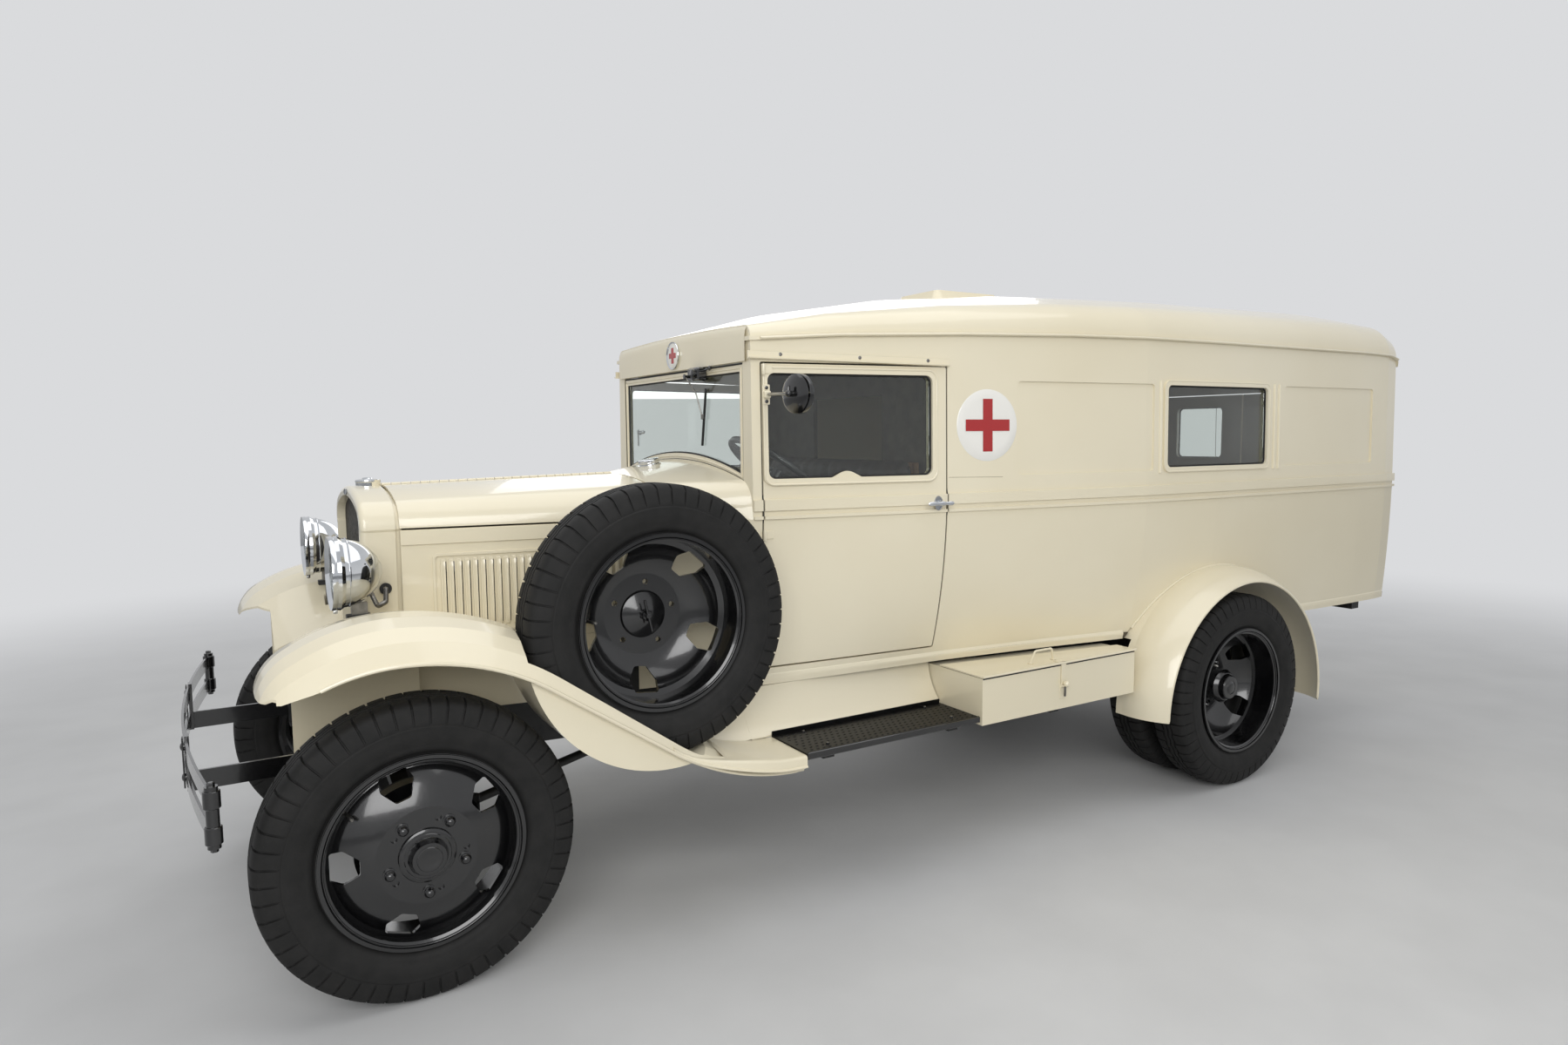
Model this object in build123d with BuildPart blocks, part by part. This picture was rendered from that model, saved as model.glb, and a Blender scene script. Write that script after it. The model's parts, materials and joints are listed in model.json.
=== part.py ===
from build123d import *
from math import atan2, cos, hypot, pi, radians, sin
import os

# Military ambulance on a light truck chassis. Millimetres, +X ahead, +Y to the vehicle's left, +Z up.
# The origin is under the middle of the whole vehicle, on the ground.

# Driving dimensions of the chassis
WHEELBASE = 3340
FRONT_AXLE_X = 2131.5
REAR_AXLE_X = FRONT_AXLE_X - WHEELBASE
TYRE_RADIUS = 420
TYRE_WIDTH = 178
RIM_RADIUS = 254
FLANGE_RADIUS = 272
RIM_WIDTH = 150
DISC_OFFSET = 112
FRONT_BULGE = 90
BOLT_CIRCLE = 205
FRONT_TYRE_Y = 702.5
REAR_DISC_Y = 800
KINGPIN_Y = 598
STEERING_ARM = 170
TIE_ROD_Z = 452
RAIL_TOP = 672
RAIL_BOTTOM = 532
RAIL_FRONT_Y = 350
RAIL_REAR_Y = 425

# Driving dimensions of the body
BODY_FRONT_X = FRONT_AXLE_X - 1130
BODY_REAR_X = FRONT_AXLE_X - 4815
WALL = 30
SILL_Z = 698
BELT_Z = 1255
BELT_PROUD = 8
BELT_RIBS = ((1283, 1321), (1254, 1265))
DOOR_FRONT_X = FRONT_AXLE_X - 1162
DOOR_REAR_X = FRONT_AXLE_X - 1882
DOOR_BOTTOM_Z = 730
DOOR_TOP_Z = 1790
GAP = 6
PARTITION_X = FRONT_AXLE_X - 1945
HOOD_FRONT_X = FRONT_AXLE_X - 37
HOOD_REAR_X = FRONT_AXLE_X - 857
HOOD_SEAM_Z = 1262
WINDSHIELD_HALF = 530
WINDSHIELD_TOP_Z = 1785
WINDSHIELD_SIDE_Z = 1385
WINDSHIELD_ARCH_Z = 1452

# Driving dimensions of the spare wheel, fenders and boards
SPARE_X = FRONT_AXLE_X - 705
SPARE_Y = 735
SPARE_Z = 980
BOARD_Z = 517
BOARD_INNER_Y = 650
BOARD_OUTER_Y = 900
BOARD_FRONT_X = FRONT_AXLE_X - 1137
BOARD_REAR_X = FRONT_AXLE_X - 1894
BOX_FRONT_X = FRONT_AXLE_X - 1905
BOX_REAR_X = FRONT_AXLE_X - 2735
BOX_TOP_Z = 655
ARCH_Z = 365
ARCH_RADIUS = 588
ARCH_FRONT_LOW_Z = 370
ARCH_REAR_LOW_Z = 305
SHEET = 6

# Driving dimensions of the lamps and the steering, driver on the left
LAMP_X = FRONT_AXLE_X + 158
LAMP_Y = 418
LAMP_Z = 1155
POST_X = FRONT_AXLE_X + 90
POST_Y = 405
WHEEL_CENTRE = Vector(FRONT_AXLE_X - 1375, 360, 1400)
COLUMN_FOOT = Vector(FRONT_AXLE_X - 795, 286, 640)
COLUMN_RADIUS = 21

os.makedirs("parts", exist_ok=True)


def write(part, name):
    """Labels a finished piece and writes its file."""
    part.label = name
    export_step(part, f"parts/{name}.step")


def arched_section(x, low_y, low_z, side_y, top_y, spring_z, crown_z, shoulder):
    """A closed cross-section: upright sides that draw in below the belt, under an arched top."""
    across = top_y - shoulder
    rise = crown_z - spring_z
    crown_radius = (across**2 + rise**2 - shoulder**2) / (2 * (rise - shoulder))
    centre_z = crown_z - crown_radius
    turn = atan2(spring_z - centre_z, across)
    half, steep = turn / 2, (turn + pi / 2) / 2
    meet = (across + shoulder * cos(turn), spring_z + shoulder * sin(turn))
    bulge = (low_y + 0.7 * (side_y - low_y), (low_z + BELT_Z) / 2)
    with BuildSketch(Plane.YZ.offset(x)) as section:
        with BuildLine():
            ThreePointArc((low_y, low_z), bulge, (side_y, BELT_Z))
            Line((side_y, BELT_Z), (top_y, spring_z))
            ThreePointArc(
                (top_y, spring_z),
                (across + shoulder * cos(half), spring_z + shoulder * sin(half)),
                meet,
            )
            ThreePointArc(
                meet,
                (crown_radius * cos(steep), centre_z + crown_radius * sin(steep)),
                (0, crown_z),
            )
            mirror(about=Plane.YZ)
            Line((-low_y, low_z), (low_y, low_z))
        make_face()
    return section.sketch


# Body stations: distance behind the front axle, half widths at the sill and the belt, height of the
# roof seam and of the crown, and how far the station moves ahead for each millimetre of inset
BODY_STATIONS = (
    (1130, 585, 600, 1874, 1926, -1),
    (1450, 612, 655, 1896, 2014, 0),
    (1950, 645, 742, 1914, 2100, 0),
    (2450, 708, 808, 1926, 2148, 0),
    (2850, 772, 850, 1930, 2163, 0),
    (3300, 812, 864, 1930, 2181, 0),
    (4450, 838, 866, 1930, 2202, 0),
    (4690, 836, 862, 1926, 2188, 0),
    (4785, 826, 850, 1908, 2132, 1),
    (4815, 806, 832, 1880, 2050, 1),
)


def body_form(inset, low_z=SILL_Z):
    """The body's outer form, moved in by the inset all round but underneath."""
    sections = []
    for behind, sill, belt, seam_z, crown_z, forward in BODY_STATIONS:
        x = FRONT_AXLE_X - behind + forward * inset
        shoulder = 0.52 * (crown_z - seam_z) + 14 - inset
        side = belt - inset
        top = side - 10
        sections.append(arched_section(x, sill - inset, low_z, side, top, seam_z, crown_z - inset, shoulder))
    with BuildPart() as form:
        loft(sections=sections, ruled=True)
    return form.part


outer_form = body_form(0)
proud_form = body_form(-BELT_PROUD)
inner_form = body_form(WALL)
floor_form = body_form(0, SILL_Z - 26)


def roof_region(below):
    """Side view of what lies above the roof seam, dropped by a distance, as a block."""
    seam = [(FRONT_AXLE_X - row[0], row[3] - below) for row in BODY_STATIONS]
    with BuildPart() as region:
        with BuildSketch(Plane.XZ):
            with BuildLine():
                Polyline(
                    (BODY_FRONT_X + 60, seam[0][1]),
                    *seam,
                    (BODY_REAR_X - 60, seam[-1][1]),
                    (BODY_REAR_X - 60, 2400),
                    (BODY_FRONT_X + 60, 2400),
                    close=True,
                )
            make_face()
        extrude(amount=1200, both=True)
    return region.part


def arch_drum(radius, inner_y, outer_y, side):
    """A drum about the rear wheel arch's own centre."""
    with BuildPart() as drum:
        with BuildSketch(Plane.XZ.offset(-side * inner_y)):
            with Locations((REAR_AXLE_X, ARCH_Z)):
                Circle(radius)
        extrude(amount=-side * (outer_y - inner_y))
    return drum.part


def side_prism(x_rear, x_front, low_z, high_z, radius, inner_y, outer_y, side):
    """A block with rounded corners in side view, from one distance off the middle to another."""
    with BuildPart() as prism:
        with BuildSketch(Plane.XZ.offset(-side * inner_y)):
            with Locations(((x_rear + x_front) / 2, (low_z + high_z) / 2)):
                RectangleRounded(x_front - x_rear, high_z - low_z, radius)
        extrude(amount=-side * (outer_y - inner_y))
    return prism.part


def mirrored(part):
    """The same piece for the right-hand side."""
    with BuildPart() as other:
        add(part)
        mirror(about=Plane.XZ, mode=Mode.REPLACE)
    return other.part


def block(low, high):
    """A plain block from its lowest corner to its highest."""
    with BuildPart() as solid:
        with Locations(tuple((a + b) / 2 for a, b in zip(low, high))):
            Box(*[b - a for a, b in zip(low, high)])
    return solid.part


# Windows and pressed panels of one side: rear and front edge behind the front axle, low and high edge
DOOR_WINDOW = (1815, 1184, 1392, 1752)
SIDE_WINDOW = (3645, 2965, 1395, 1735)
PRESSED_PANELS = ((2890, 2195, 1383, 1738), (4545, 3790, 1383, 1746))
FRAME_RIM = 22


def window_block(window, grow, radius, inner_y, outer_y):
    """A window's outline on the left side, grown by a distance, as a block."""
    rear, front, low, high = window
    return side_prism(
        FRONT_AXLE_X - rear - grow,
        FRONT_AXLE_X - front + grow,
        low - grow,
        high + grow,
        radius,
        inner_y,
        outer_y,
        1,
    )


# Belt ribs, drip moulding under the roof seam and raised rims round the side windows
roof_cut = roof_region(0)
with BuildPart() as rim_bands:
    for low, high in BELT_RIBS:
        with Locations((0, 0, (low + high) / 2)):
            Box(6000, 2400, high - low)
    add(roof_region(14))
    add(roof_cut, mode=Mode.SUBTRACT)
    for window in (DOOR_WINDOW, SIDE_WINDOW):
        add(window_block(window, FRAME_RIM, 40, 500, 1100))
        add(mirrored(window_block(window, FRAME_RIM, 40, 500, 1100)))
    add(block((BODY_FRONT_X, -1200, 600), (BODY_FRONT_X + 100, 1200, 1500)), mode=Mode.SUBTRACT)

# Skin of the whole body, hollow, with the mouth that the windshield and the cowl close
MOUTH_HALF = WINDSHIELD_HALF + 5
with BuildPart() as skin:
    add(proud_form)
    add(rim_bands.part, mode=Mode.INTERSECT)
    add(outer_form)
    add(inner_form, mode=Mode.SUBTRACT)
    add(
        block(
            (BODY_FRONT_X - 60, -MOUTH_HALF, 600),
            (BODY_FRONT_X + 20, MOUTH_HALF, WINDSHIELD_TOP_Z + 8),
        ),
        mode=Mode.SUBTRACT,
    )

# Roof with its front header and a low ventilator
with BuildPart() as roof_zone:
    add(roof_cut)
    add(block((BODY_FRONT_X - 40, -900, WINDSHIELD_TOP_Z + 8), (BODY_FRONT_X + 60, 900, 2300)))
VENT_X = FRONT_AXLE_X - 2510
with BuildPart() as roof:
    add(skin.part)
    add(roof_zone.part, mode=Mode.INTERSECT)
    with BuildSketch(Plane.XY.offset(2128)):
        with Locations((VENT_X, 0)):
            RectangleRounded(390, 300, 40)
    extrude(amount=46, taper=22)
write(roof.part, "roof")

# Left side wall, from the windshield pillar to the rear corner, with its cut-outs
REAR_SPLIT_X = BODY_REAR_X + WALL + 12
recess_form = body_form(7)
with BuildPart() as pressings:
    for panel in PRESSED_PANELS:
        add(window_block(panel, 0, 14, 500, 1100))
    add(recess_form, mode=Mode.SUBTRACT)
door_hole = side_prism(DOOR_REAR_X, DOOR_FRONT_X, DOOR_BOTTOM_Z, DOOR_TOP_Z, 8, 450, 1100, 1)
with BuildPart() as side_left:
    add(skin.part)
    add(roof_zone.part, mode=Mode.SUBTRACT)
    add(block((REAR_SPLIT_X, 0, 600), (3000, 1100, 2300)), mode=Mode.INTERSECT)
    add(door_hole, mode=Mode.SUBTRACT)
    add(pressings.part, mode=Mode.SUBTRACT)
    add(window_block(SIDE_WINDOW, 0, 22, 500, 1100), mode=Mode.SUBTRACT)
    add(arch_drum(ARCH_RADIUS + 7, 500, 1100, 1), mode=Mode.SUBTRACT)
write(side_left.part, "side_left")
write(mirrored(side_left.part), "side_right")

# Cab doors, one wall thick, with their window openings, and the panes
with BuildPart() as door_left:
    add(skin.part)
    add(
        side_prism(
            DOOR_REAR_X + GAP,
            DOOR_FRONT_X - GAP,
            DOOR_BOTTOM_Z + GAP,
            DOOR_TOP_Z - GAP,
            6,
            450,
            1100,
            1,
        ),
        mode=Mode.INTERSECT,
    )
    add(window_block(DOOR_WINDOW, 0, 26, 450, 1100), mode=Mode.SUBTRACT)
write(door_left.part, "door_left")
write(mirrored(door_left.part), "door_right")

GLASS_DEPTHS = (11, 16)
glass_outer = body_form(GLASS_DEPTHS[0])
glass_inner = body_form(GLASS_DEPTHS[1])
with BuildPart() as glass_skin:
    add(glass_outer)
    add(glass_inner, mode=Mode.SUBTRACT)


def pane(window, radius):
    """A pane that fills a side window, sunk in the wall."""
    with BuildPart() as glass:
        add(glass_skin.part)
        add(window_block(window, -0.5, radius, 450, 1100), mode=Mode.INTERSECT)
    return glass.part


door_glass = pane(DOOR_WINDOW, 25.5)
write(door_glass, "door_glass_left")
write(mirrored(door_glass), "door_glass_right")

# Rear wall and its two doors, with small windows
REAR_DOOR_HALF = 560
REAR_DOOR_MEET = 4.5
REAR_DOOR_Z = (742, 1765)
REAR_WINDOW = (130, 440, 1385, 1690)


def rear_prism(low_y, high_y, low_z, high_z, radius):
    """A block with rounded corners in the rear view, through the rear wall."""
    with BuildPart() as prism:
        with BuildSketch(Plane.YZ.offset(BODY_REAR_X - 40)):
            with Locations(((low_y + high_y) / 2, (low_z + high_z) / 2)):
                RectangleRounded(high_y - low_y, high_z - low_z, radius)
        extrude(amount=40 + WALL + 12)
    return prism.part


with BuildPart() as rear_wall:
    add(skin.part)
    add(roof_zone.part, mode=Mode.SUBTRACT)
    add(block((BODY_REAR_X - 40, -1100, 600), (REAR_SPLIT_X, 1100, 2300)), mode=Mode.INTERSECT)
    add(rear_prism(-REAR_DOOR_HALF, REAR_DOOR_HALF, *REAR_DOOR_Z, 20), mode=Mode.SUBTRACT)
write(rear_wall.part, "rear_wall")

with BuildPart() as rear_door_left:
    add(skin.part)
    add(
        rear_prism(REAR_DOOR_MEET, REAR_DOOR_HALF - GAP, REAR_DOOR_Z[0] + GAP, REAR_DOOR_Z[1] - GAP, 2.5),
        mode=Mode.INTERSECT,
    )
    low_y, high_y, low_z, high_z = REAR_WINDOW
    add(rear_prism(low_y, high_y, low_z, high_z, 30), mode=Mode.SUBTRACT)
write(rear_door_left.part, "rear_door_left")
write(mirrored(rear_door_left.part), "rear_door_right")

with BuildPart() as rear_glass:
    add(glass_skin.part)
    add(rear_prism(low_y + 0.5, high_y - 0.5, low_z + 0.5, high_z - 0.5, 29.5), mode=Mode.INTERSECT)
write(rear_glass.part, "rear_door_glass_left")
write(mirrored(rear_glass.part), "rear_door_glass_right")

# Floor on the chassis rails, cut for the wheel arches, with a raised runner between the benches
RUNNER_HALF = 280
RUNNER_TOP_Z = SILL_Z + 4
with BuildPart() as floor:
    add(floor_form)
    add(block((-3000, -1100, RAIL_TOP), (3000, 1100, SILL_Z)), mode=Mode.INTERSECT)
    for side in (1, -1):
        add(arch_drum(ARCH_RADIUS + 7, 552, 1100, side), mode=Mode.SUBTRACT)
    add(block((BODY_REAR_X + 75, -RUNNER_HALF, SILL_Z - 1), (PARTITION_X - 20, RUNNER_HALF, RUNNER_TOP_Z)))
write(floor.part, "floor")

# Partition behind the seat, with a window opening
room_form = body_form(WALL + 0.5)
with BuildPart() as partition:
    add(room_form)
    add(block((PARTITION_X - 10, -1100, SILL_Z), (PARTITION_X + 10, 1100, 2300)), mode=Mode.INTERSECT)
    add(block((PARTITION_X - 20, -260, 1420), (PARTITION_X + 20, 260, 1700)), mode=Mode.SUBTRACT)
write(partition.part, "partition")

# Cowl between the hood and the windshield pillars, with the firewall and the sill under the windshield
COWL_FRONT_X = HOOD_REAR_X - 5
HOOD_SHEET = 6
HOOD_FRONT_Y = 302
HOOD_REAR_Y = 416


def sill_panel(high_z):
    """The upright panel on the left rail that the hood's side panel and the fender come down to."""
    with BuildPart() as panel:
        with BuildSketch(Plane.XY.offset(RAIL_TOP + 0.5)):
            with BuildLine():
                Polyline(
                    (HOOD_FRONT_X, HOOD_FRONT_Y - HOOD_SHEET),
                    (HOOD_FRONT_X, HOOD_FRONT_Y),
                    (COWL_FRONT_X + 1, HOOD_REAR_Y),
                    (COWL_FRONT_X - 4, HOOD_REAR_Y),
                    (COWL_FRONT_X - 4, HOOD_REAR_Y - HOOD_SHEET),
                    close=True,
                )
            make_face()
        extrude(amount=high_z - RAIL_TOP - 0.5)
    return panel.part


def cowl_form(inset, ahead):
    """The cowl's outer form moved in by the inset; it starts that far ahead of the firewall."""
    front = arched_section(
        COWL_FRONT_X + ahead, 404 - inset, SILL_Z, 420 - inset, 416 - inset, HOOD_SEAM_Z, 1404 - inset, 118 - inset
    )
    rear = arched_section(
        BODY_FRONT_X - ahead / 2, 585 - inset, SILL_Z, 600 - inset, 592 - inset, 1300, 1452 - inset, 92 - inset
    )
    with BuildPart() as form:
        loft(sections=[front, rear], ruled=True)
    return form.part


# A ledge under the hood's rear edge, and the upright sills below the hood's side panels
with BuildPart() as cowl_ledge:
    for inset, mode in ((13, Mode.ADD), (19, Mode.SUBTRACT)):
        face = arched_section(
            COWL_FRONT_X, 404 - inset, 900, 416 - inset, 416 - inset, HOOD_SEAM_Z, 1404 - inset, 118 - inset
        )
        extrude(face, amount=20, mode=mode)
hood_sill = sill_panel(884)
with BuildPart() as cowl:
    add(cowl_form(0, 0))
    add(cowl_form(24, -8), mode=Mode.SUBTRACT)
    add(block((BODY_FRONT_X - 10, -520, 600), (BODY_FRONT_X + 10, 520, 1340)), mode=Mode.SUBTRACT)
    add(cowl_ledge.part)
    add(hood_sill)
    add(mirrored(hood_sill))
    with BuildSketch(Plane(origin=COLUMN_FOOT, z_dir=WHEEL_CENTRE - COLUMN_FOOT)):
        Circle(COLUMN_RADIUS + 6)
    extrude(amount=300, mode=Mode.SUBTRACT)
write(cowl.part, "cowl")

# Hood: two top panels on a centre hinge and two louvred side panels that hang from them
HOOD_FRONT = (298, HOOD_FRONT_Y, HOOD_SEAM_Z, 1387, 90)
HOOD_REAR = (404, HOOD_REAR_Y, HOOD_SEAM_Z, 1404, 118)


def hood_form(inset):
    """The hood's outer form, moved in by the inset."""
    sections = []
    for x, row in ((HOOD_FRONT_X, HOOD_FRONT), (HOOD_REAR_X, HOOD_REAR)):
        low_y, side_y, spring_z, crown_z, shoulder = row
        sections.append(
            arched_section(
                x, low_y - inset, 900, side_y - inset, side_y - inset, spring_z, crown_z - inset, shoulder - inset
            )
        )
    with BuildPart() as form:
        loft(sections=sections, ruled=True)
    return form.part


hood_outer = hood_form(0)
hood_inner = hood_form(HOOD_SHEET)
with BuildPart() as hood_top_left:
    add(hood_outer)
    add(hood_inner, mode=Mode.SUBTRACT)
    add(block((HOOD_REAR_X + 3, 7, HOOD_SEAM_Z + 2), (HOOD_FRONT_X - 8, 600, 1500)), mode=Mode.INTERSECT)
write(hood_top_left.part, "hood_top_left")
write(mirrored(hood_top_left.part), "hood_top_right")

SIDE_PANEL_TOP = HOOD_SEAM_Z - 4
SIDE_PANEL_LOW = 885
LOUVRES = 24
LOUVRE_HEIGHT = 215
LOUVRE_PITCH = 24
panel_run = hypot(HOOD_FRONT_X - HOOD_REAR_X, HOOD_REAR[1] - HOOD_FRONT[1])
panel_length = panel_run - 14
panel_height = SIDE_PANEL_TOP - SIDE_PANEL_LOW
panel_plane = Plane(
    origin=(
        (HOOD_FRONT_X + HOOD_REAR_X) / 2 - 3,
        (HOOD_FRONT[1] + HOOD_REAR[1]) / 2 - HOOD_SHEET,
        (SIDE_PANEL_TOP + SIDE_PANEL_LOW) / 2,
    ),
    x_dir=(HOOD_REAR_X - HOOD_FRONT_X, HOOD_REAR[1] - HOOD_FRONT[1], 0),
    z_dir=(HOOD_REAR[1] - HOOD_FRONT[1], HOOD_FRONT_X - HOOD_REAR_X, 0),
)
louvre_centre = (-12, -20)
with BuildPart() as hood_side_left:
    with BuildSketch(panel_plane):
        Rectangle(panel_length, panel_height)
    extrude(amount=HOOD_SHEET)
    with BuildSketch(panel_plane.offset(HOOD_SHEET)):
        with Locations((0, panel_height / 2 - 24)):
            Rectangle(panel_length, 44)
        with Locations(louvre_centre):
            RectangleRounded(LOUVRES * LOUVRE_PITCH + 34, LOUVRE_HEIGHT + 42, 16)
            RectangleRounded(LOUVRES * LOUVRE_PITCH + 18, LOUVRE_HEIGHT + 26, 10, mode=Mode.SUBTRACT)
        with Locations(louvre_centre):
            with GridLocations(LOUVRE_PITCH, 0, LOUVRES, 1):
                Rectangle(11, LOUVRE_HEIGHT)
    extrude(amount=6)
    with BuildSketch(panel_plane):
        with Locations((louvre_centre[0] + 9, louvre_centre[1])):
            with GridLocations(LOUVRE_PITCH, 0, LOUVRES, 1):
                Rectangle(6, LOUVRE_HEIGHT - 12)
    extrude(amount=HOOD_SHEET, mode=Mode.SUBTRACT)
write(hood_side_left.part, "hood_side_left")
write(mirrored(hood_side_left.part), "hood_side_right")

# Radiator shell with its core, and the hinge rod that both hood tops turn on
SHELL_DEPTH = 100
SHELL_REAR_X = HOOD_FRONT_X + 4


def shell_outline(x, inset, depth):
    """The radiator's arched outline, moved in by the inset, as a block of that depth."""
    face = arched_section(
        x, 272 - inset, 700 + inset, 298 - inset, 302 - inset, HOOD_SEAM_Z, 1387 - inset, 90 - inset
    )
    with BuildPart() as solid:
        extrude(face, amount=depth)
    return solid.part


with BuildPart() as radiator_shell:
    add(shell_outline(SHELL_REAR_X, 0, SHELL_DEPTH))
    fillet(radiator_shell.edges().group_by(Axis.X)[-1], 16)
    add(shell_outline(SHELL_REAR_X - 5, 30, SHELL_DEPTH + 10), mode=Mode.SUBTRACT)
    add(shell_outline(SHELL_REAR_X - 20, 10, 20))
    add(shell_outline(SHELL_REAR_X - 25, 30, 30), mode=Mode.SUBTRACT)
    with Locations((SHELL_REAR_X + SHELL_DEPTH / 2 - 24, 0, 1383)):
        Cylinder(34, 22, align=(Align.CENTER, Align.CENTER, Align.MIN))
write(radiator_shell.part, "radiator_shell")
write(shell_outline(SHELL_REAR_X + 8, 30, SHELL_DEPTH - 34), "radiator_core")

# Front fenders: the crown is a loft of side-view profiles, each at its distance from the middle.
# Columns: distance, top height, arc radius behind the top, slope, foot radius, tail height
FENDER_PROFILES = (
    (300, 861, 770, 38, 560, 462),
    (390, 946, 770, 38, 560, 477),
    (480, 1020, 770, 38, 560, 492),
    (575, 1056, 770, 38.3, 550, 498),
    (670, 1070, 770, 38.5, 540, 503),
    (735, 1065, 767, 38.2, 565, 501),
    (790, 1046, 760, 37.5, 600, 496),
    (832, 1014, 735, 36.3, 680, 482),
    (866, 962, 690, 34, 800, 457),
)
FENDER_TOP_X = FRONT_AXLE_X + 55
FENDER_TAIL_X = FRONT_AXLE_X - 1150
NOSE = (490, 32, 150, 86)
FENDER_TRIM_Z = 897
VALANCE_FRONT_X = FRONT_AXLE_X + 285
VALANCE_Y = 432


def fender_profile(row, drop, overrun, front_face):
    """Closed side-view face under one crown line; all of its arcs run on without a corner."""
    y, top_z, back_radius, slope, foot_radius, tail_z = row
    top_z, tail_z = top_z - drop, tail_z - drop
    nose_radius, nose_turn, lip_radius, lip_turn = NOSE
    b, c = radians(nose_turn), radians(lip_turn)
    a = radians(slope)
    top = (FENDER_TOP_X, top_z)
    nose = (top[0] + nose_radius * sin(b), top_z - nose_radius * (1 - cos(b)))
    nose_mid = (top[0] + nose_radius * sin(b / 2), top_z - nose_radius * (1 - cos(b / 2)))
    lip_x = nose[0] - lip_radius * sin(b)
    lip_z = nose[1] - lip_radius * cos(b)
    lip = (lip_x + lip_radius * sin(c), lip_z + lip_radius * cos(c))
    lip_mid = (lip_x + lip_radius * sin((b + c) / 2), lip_z + lip_radius * cos((b + c) / 2))
    back = (top[0] - back_radius * sin(a), top_z - back_radius * (1 - cos(a)))
    back_mid = (top[0] - back_radius * sin(a / 2), top_z - back_radius * (1 - cos(a / 2)))
    foot_z = tail_z + foot_radius * (1 - cos(a))
    foot = (back[0] - (back[1] - foot_z) / sin(a) * cos(a), foot_z)
    tail = (foot[0] - foot_radius * sin(a), tail_z)
    foot_mid = (tail[0] + foot_radius * sin(a / 2), tail_z + foot_radius * (1 - cos(a / 2)))
    end_x = min(tail[0] - 10, FENDER_TAIL_X) - overrun
    with BuildSketch(Plane.XZ.offset(-y)) as profile:
        with BuildLine():
            ThreePointArc(lip, lip_mid, nose)
            ThreePointArc(nose, nose_mid, top)
            ThreePointArc(top, back_mid, back)
            Line(back, foot)
            ThreePointArc(foot, foot_mid, tail)
            Polyline(tail, (end_x, tail_z), (end_x, 250), (lip[0] + front_face, 250))
            Polyline((lip[0] + front_face, 250), (lip[0] + front_face, lip[1] - 0.5), lip)
        make_face()
    return profile.sketch


def fender_form(drop, overrun, front_face):
    """The space under the crown, dropped by the sheet's thickness for the inner form."""
    sections = [fender_profile(row, drop, overrun, front_face) for row in FENDER_PROFILES]
    with BuildPart() as form:
        loft(sections=sections, ruled=True)
    return form.part


fender_over = fender_form(0, 0, 0)
fender_under = fender_form(SHEET + 1, 60, 40)

# What is trimmed off each fender: the low front edge, the wall below the rail and the inner tail
with BuildPart() as fender_trim:
    with BuildSketch(Plane.XZ.offset(-420)):
        with BuildLine():
            ThreePointArc(
                (FRONT_AXLE_X + 20, 950),
                (FRONT_AXLE_X + 175, 934),
                (FRONT_AXLE_X + 330, FENDER_TRIM_Z),
            )
            Polyline(
                (FRONT_AXLE_X + 330, FENDER_TRIM_Z),
                (FRONT_AXLE_X + 460, FENDER_TRIM_Z),
                (FRONT_AXLE_X + 460, 200),
                (FRONT_AXLE_X + 20, 200),
                (FRONT_AXLE_X + 20, 950),
            )
        make_face()
    extrude(amount=-600)
    add(block((FRONT_AXLE_X - 1400, 300, 200), (FRONT_AXLE_X + 600, 480, RAIL_TOP + 1)))
    with BuildSketch(Plane.XY.offset(200)):
        with BuildLine():
            Polyline(
                (FRONT_AXLE_X + 600, 280),
                (FRONT_AXLE_X + 600, HOOD_FRONT_Y + 2),
                (HOOD_FRONT_X, HOOD_FRONT_Y + 2),
                (COWL_FRONT_X, HOOD_REAR_Y + 2),
                (BODY_FRONT_X, 603),
                (FRONT_AXLE_X - 1400, 603),
                (FRONT_AXLE_X - 1400, 280),
                close=True,
            )
        make_face()
    extrude(amount=900)
    with BuildSketch(Plane.XY.offset(200)):
        with BuildLine():
            ThreePointArc(
                (VALANCE_FRONT_X, 440),
                (VALANCE_FRONT_X + 52, 502),
                (VALANCE_FRONT_X + 100, 640),
            )
            Polyline(
                (VALANCE_FRONT_X + 100, 640),
                (VALANCE_FRONT_X + 320, 640),
                (VALANCE_FRONT_X + 320, 280),
                (VALANCE_FRONT_X, 280),
                (VALANCE_FRONT_X, 440),
            )
        make_face()
    extrude(amount=1000)
    with BuildSketch(Plane.XY.offset(200)):
        with Locations((FRONT_AXLE_X + 455, 866)):
            Rectangle(230, 120)
        with Locations((FRONT_AXLE_X + 255, 731)):
            Circle(137, mode=Mode.SUBTRACT)
    extrude(amount=900)

# An upright valance hangs from the crown beside the frame, up to the fender's vertical front edge
with BuildPart() as valance:
    with BuildSketch(Plane.XZ.offset(-VALANCE_Y)):
        with BuildLine():
            Polyline(
                (FRONT_AXLE_X - 60, 600),
                (FRONT_AXLE_X + 120, 596),
                (VALANCE_FRONT_X, 556),
                (VALANCE_FRONT_X, 1060),
                (FRONT_AXLE_X - 60, 1060),
                close=True,
            )
        make_face()
    extrude(amount=-SHEET)
    add(fender_over, mode=Mode.INTERSECT)

with BuildPart() as front_fender_right:
    add(fender_over)
    add(fender_under, mode=Mode.SUBTRACT)
    add(fender_trim.part, mode=Mode.SUBTRACT)
    add(block((POST_X - 20, POST_Y - 20, 600), (POST_X + 20, POST_Y + 20, 1200)), mode=Mode.SUBTRACT)
    add(valance.part)

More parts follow.
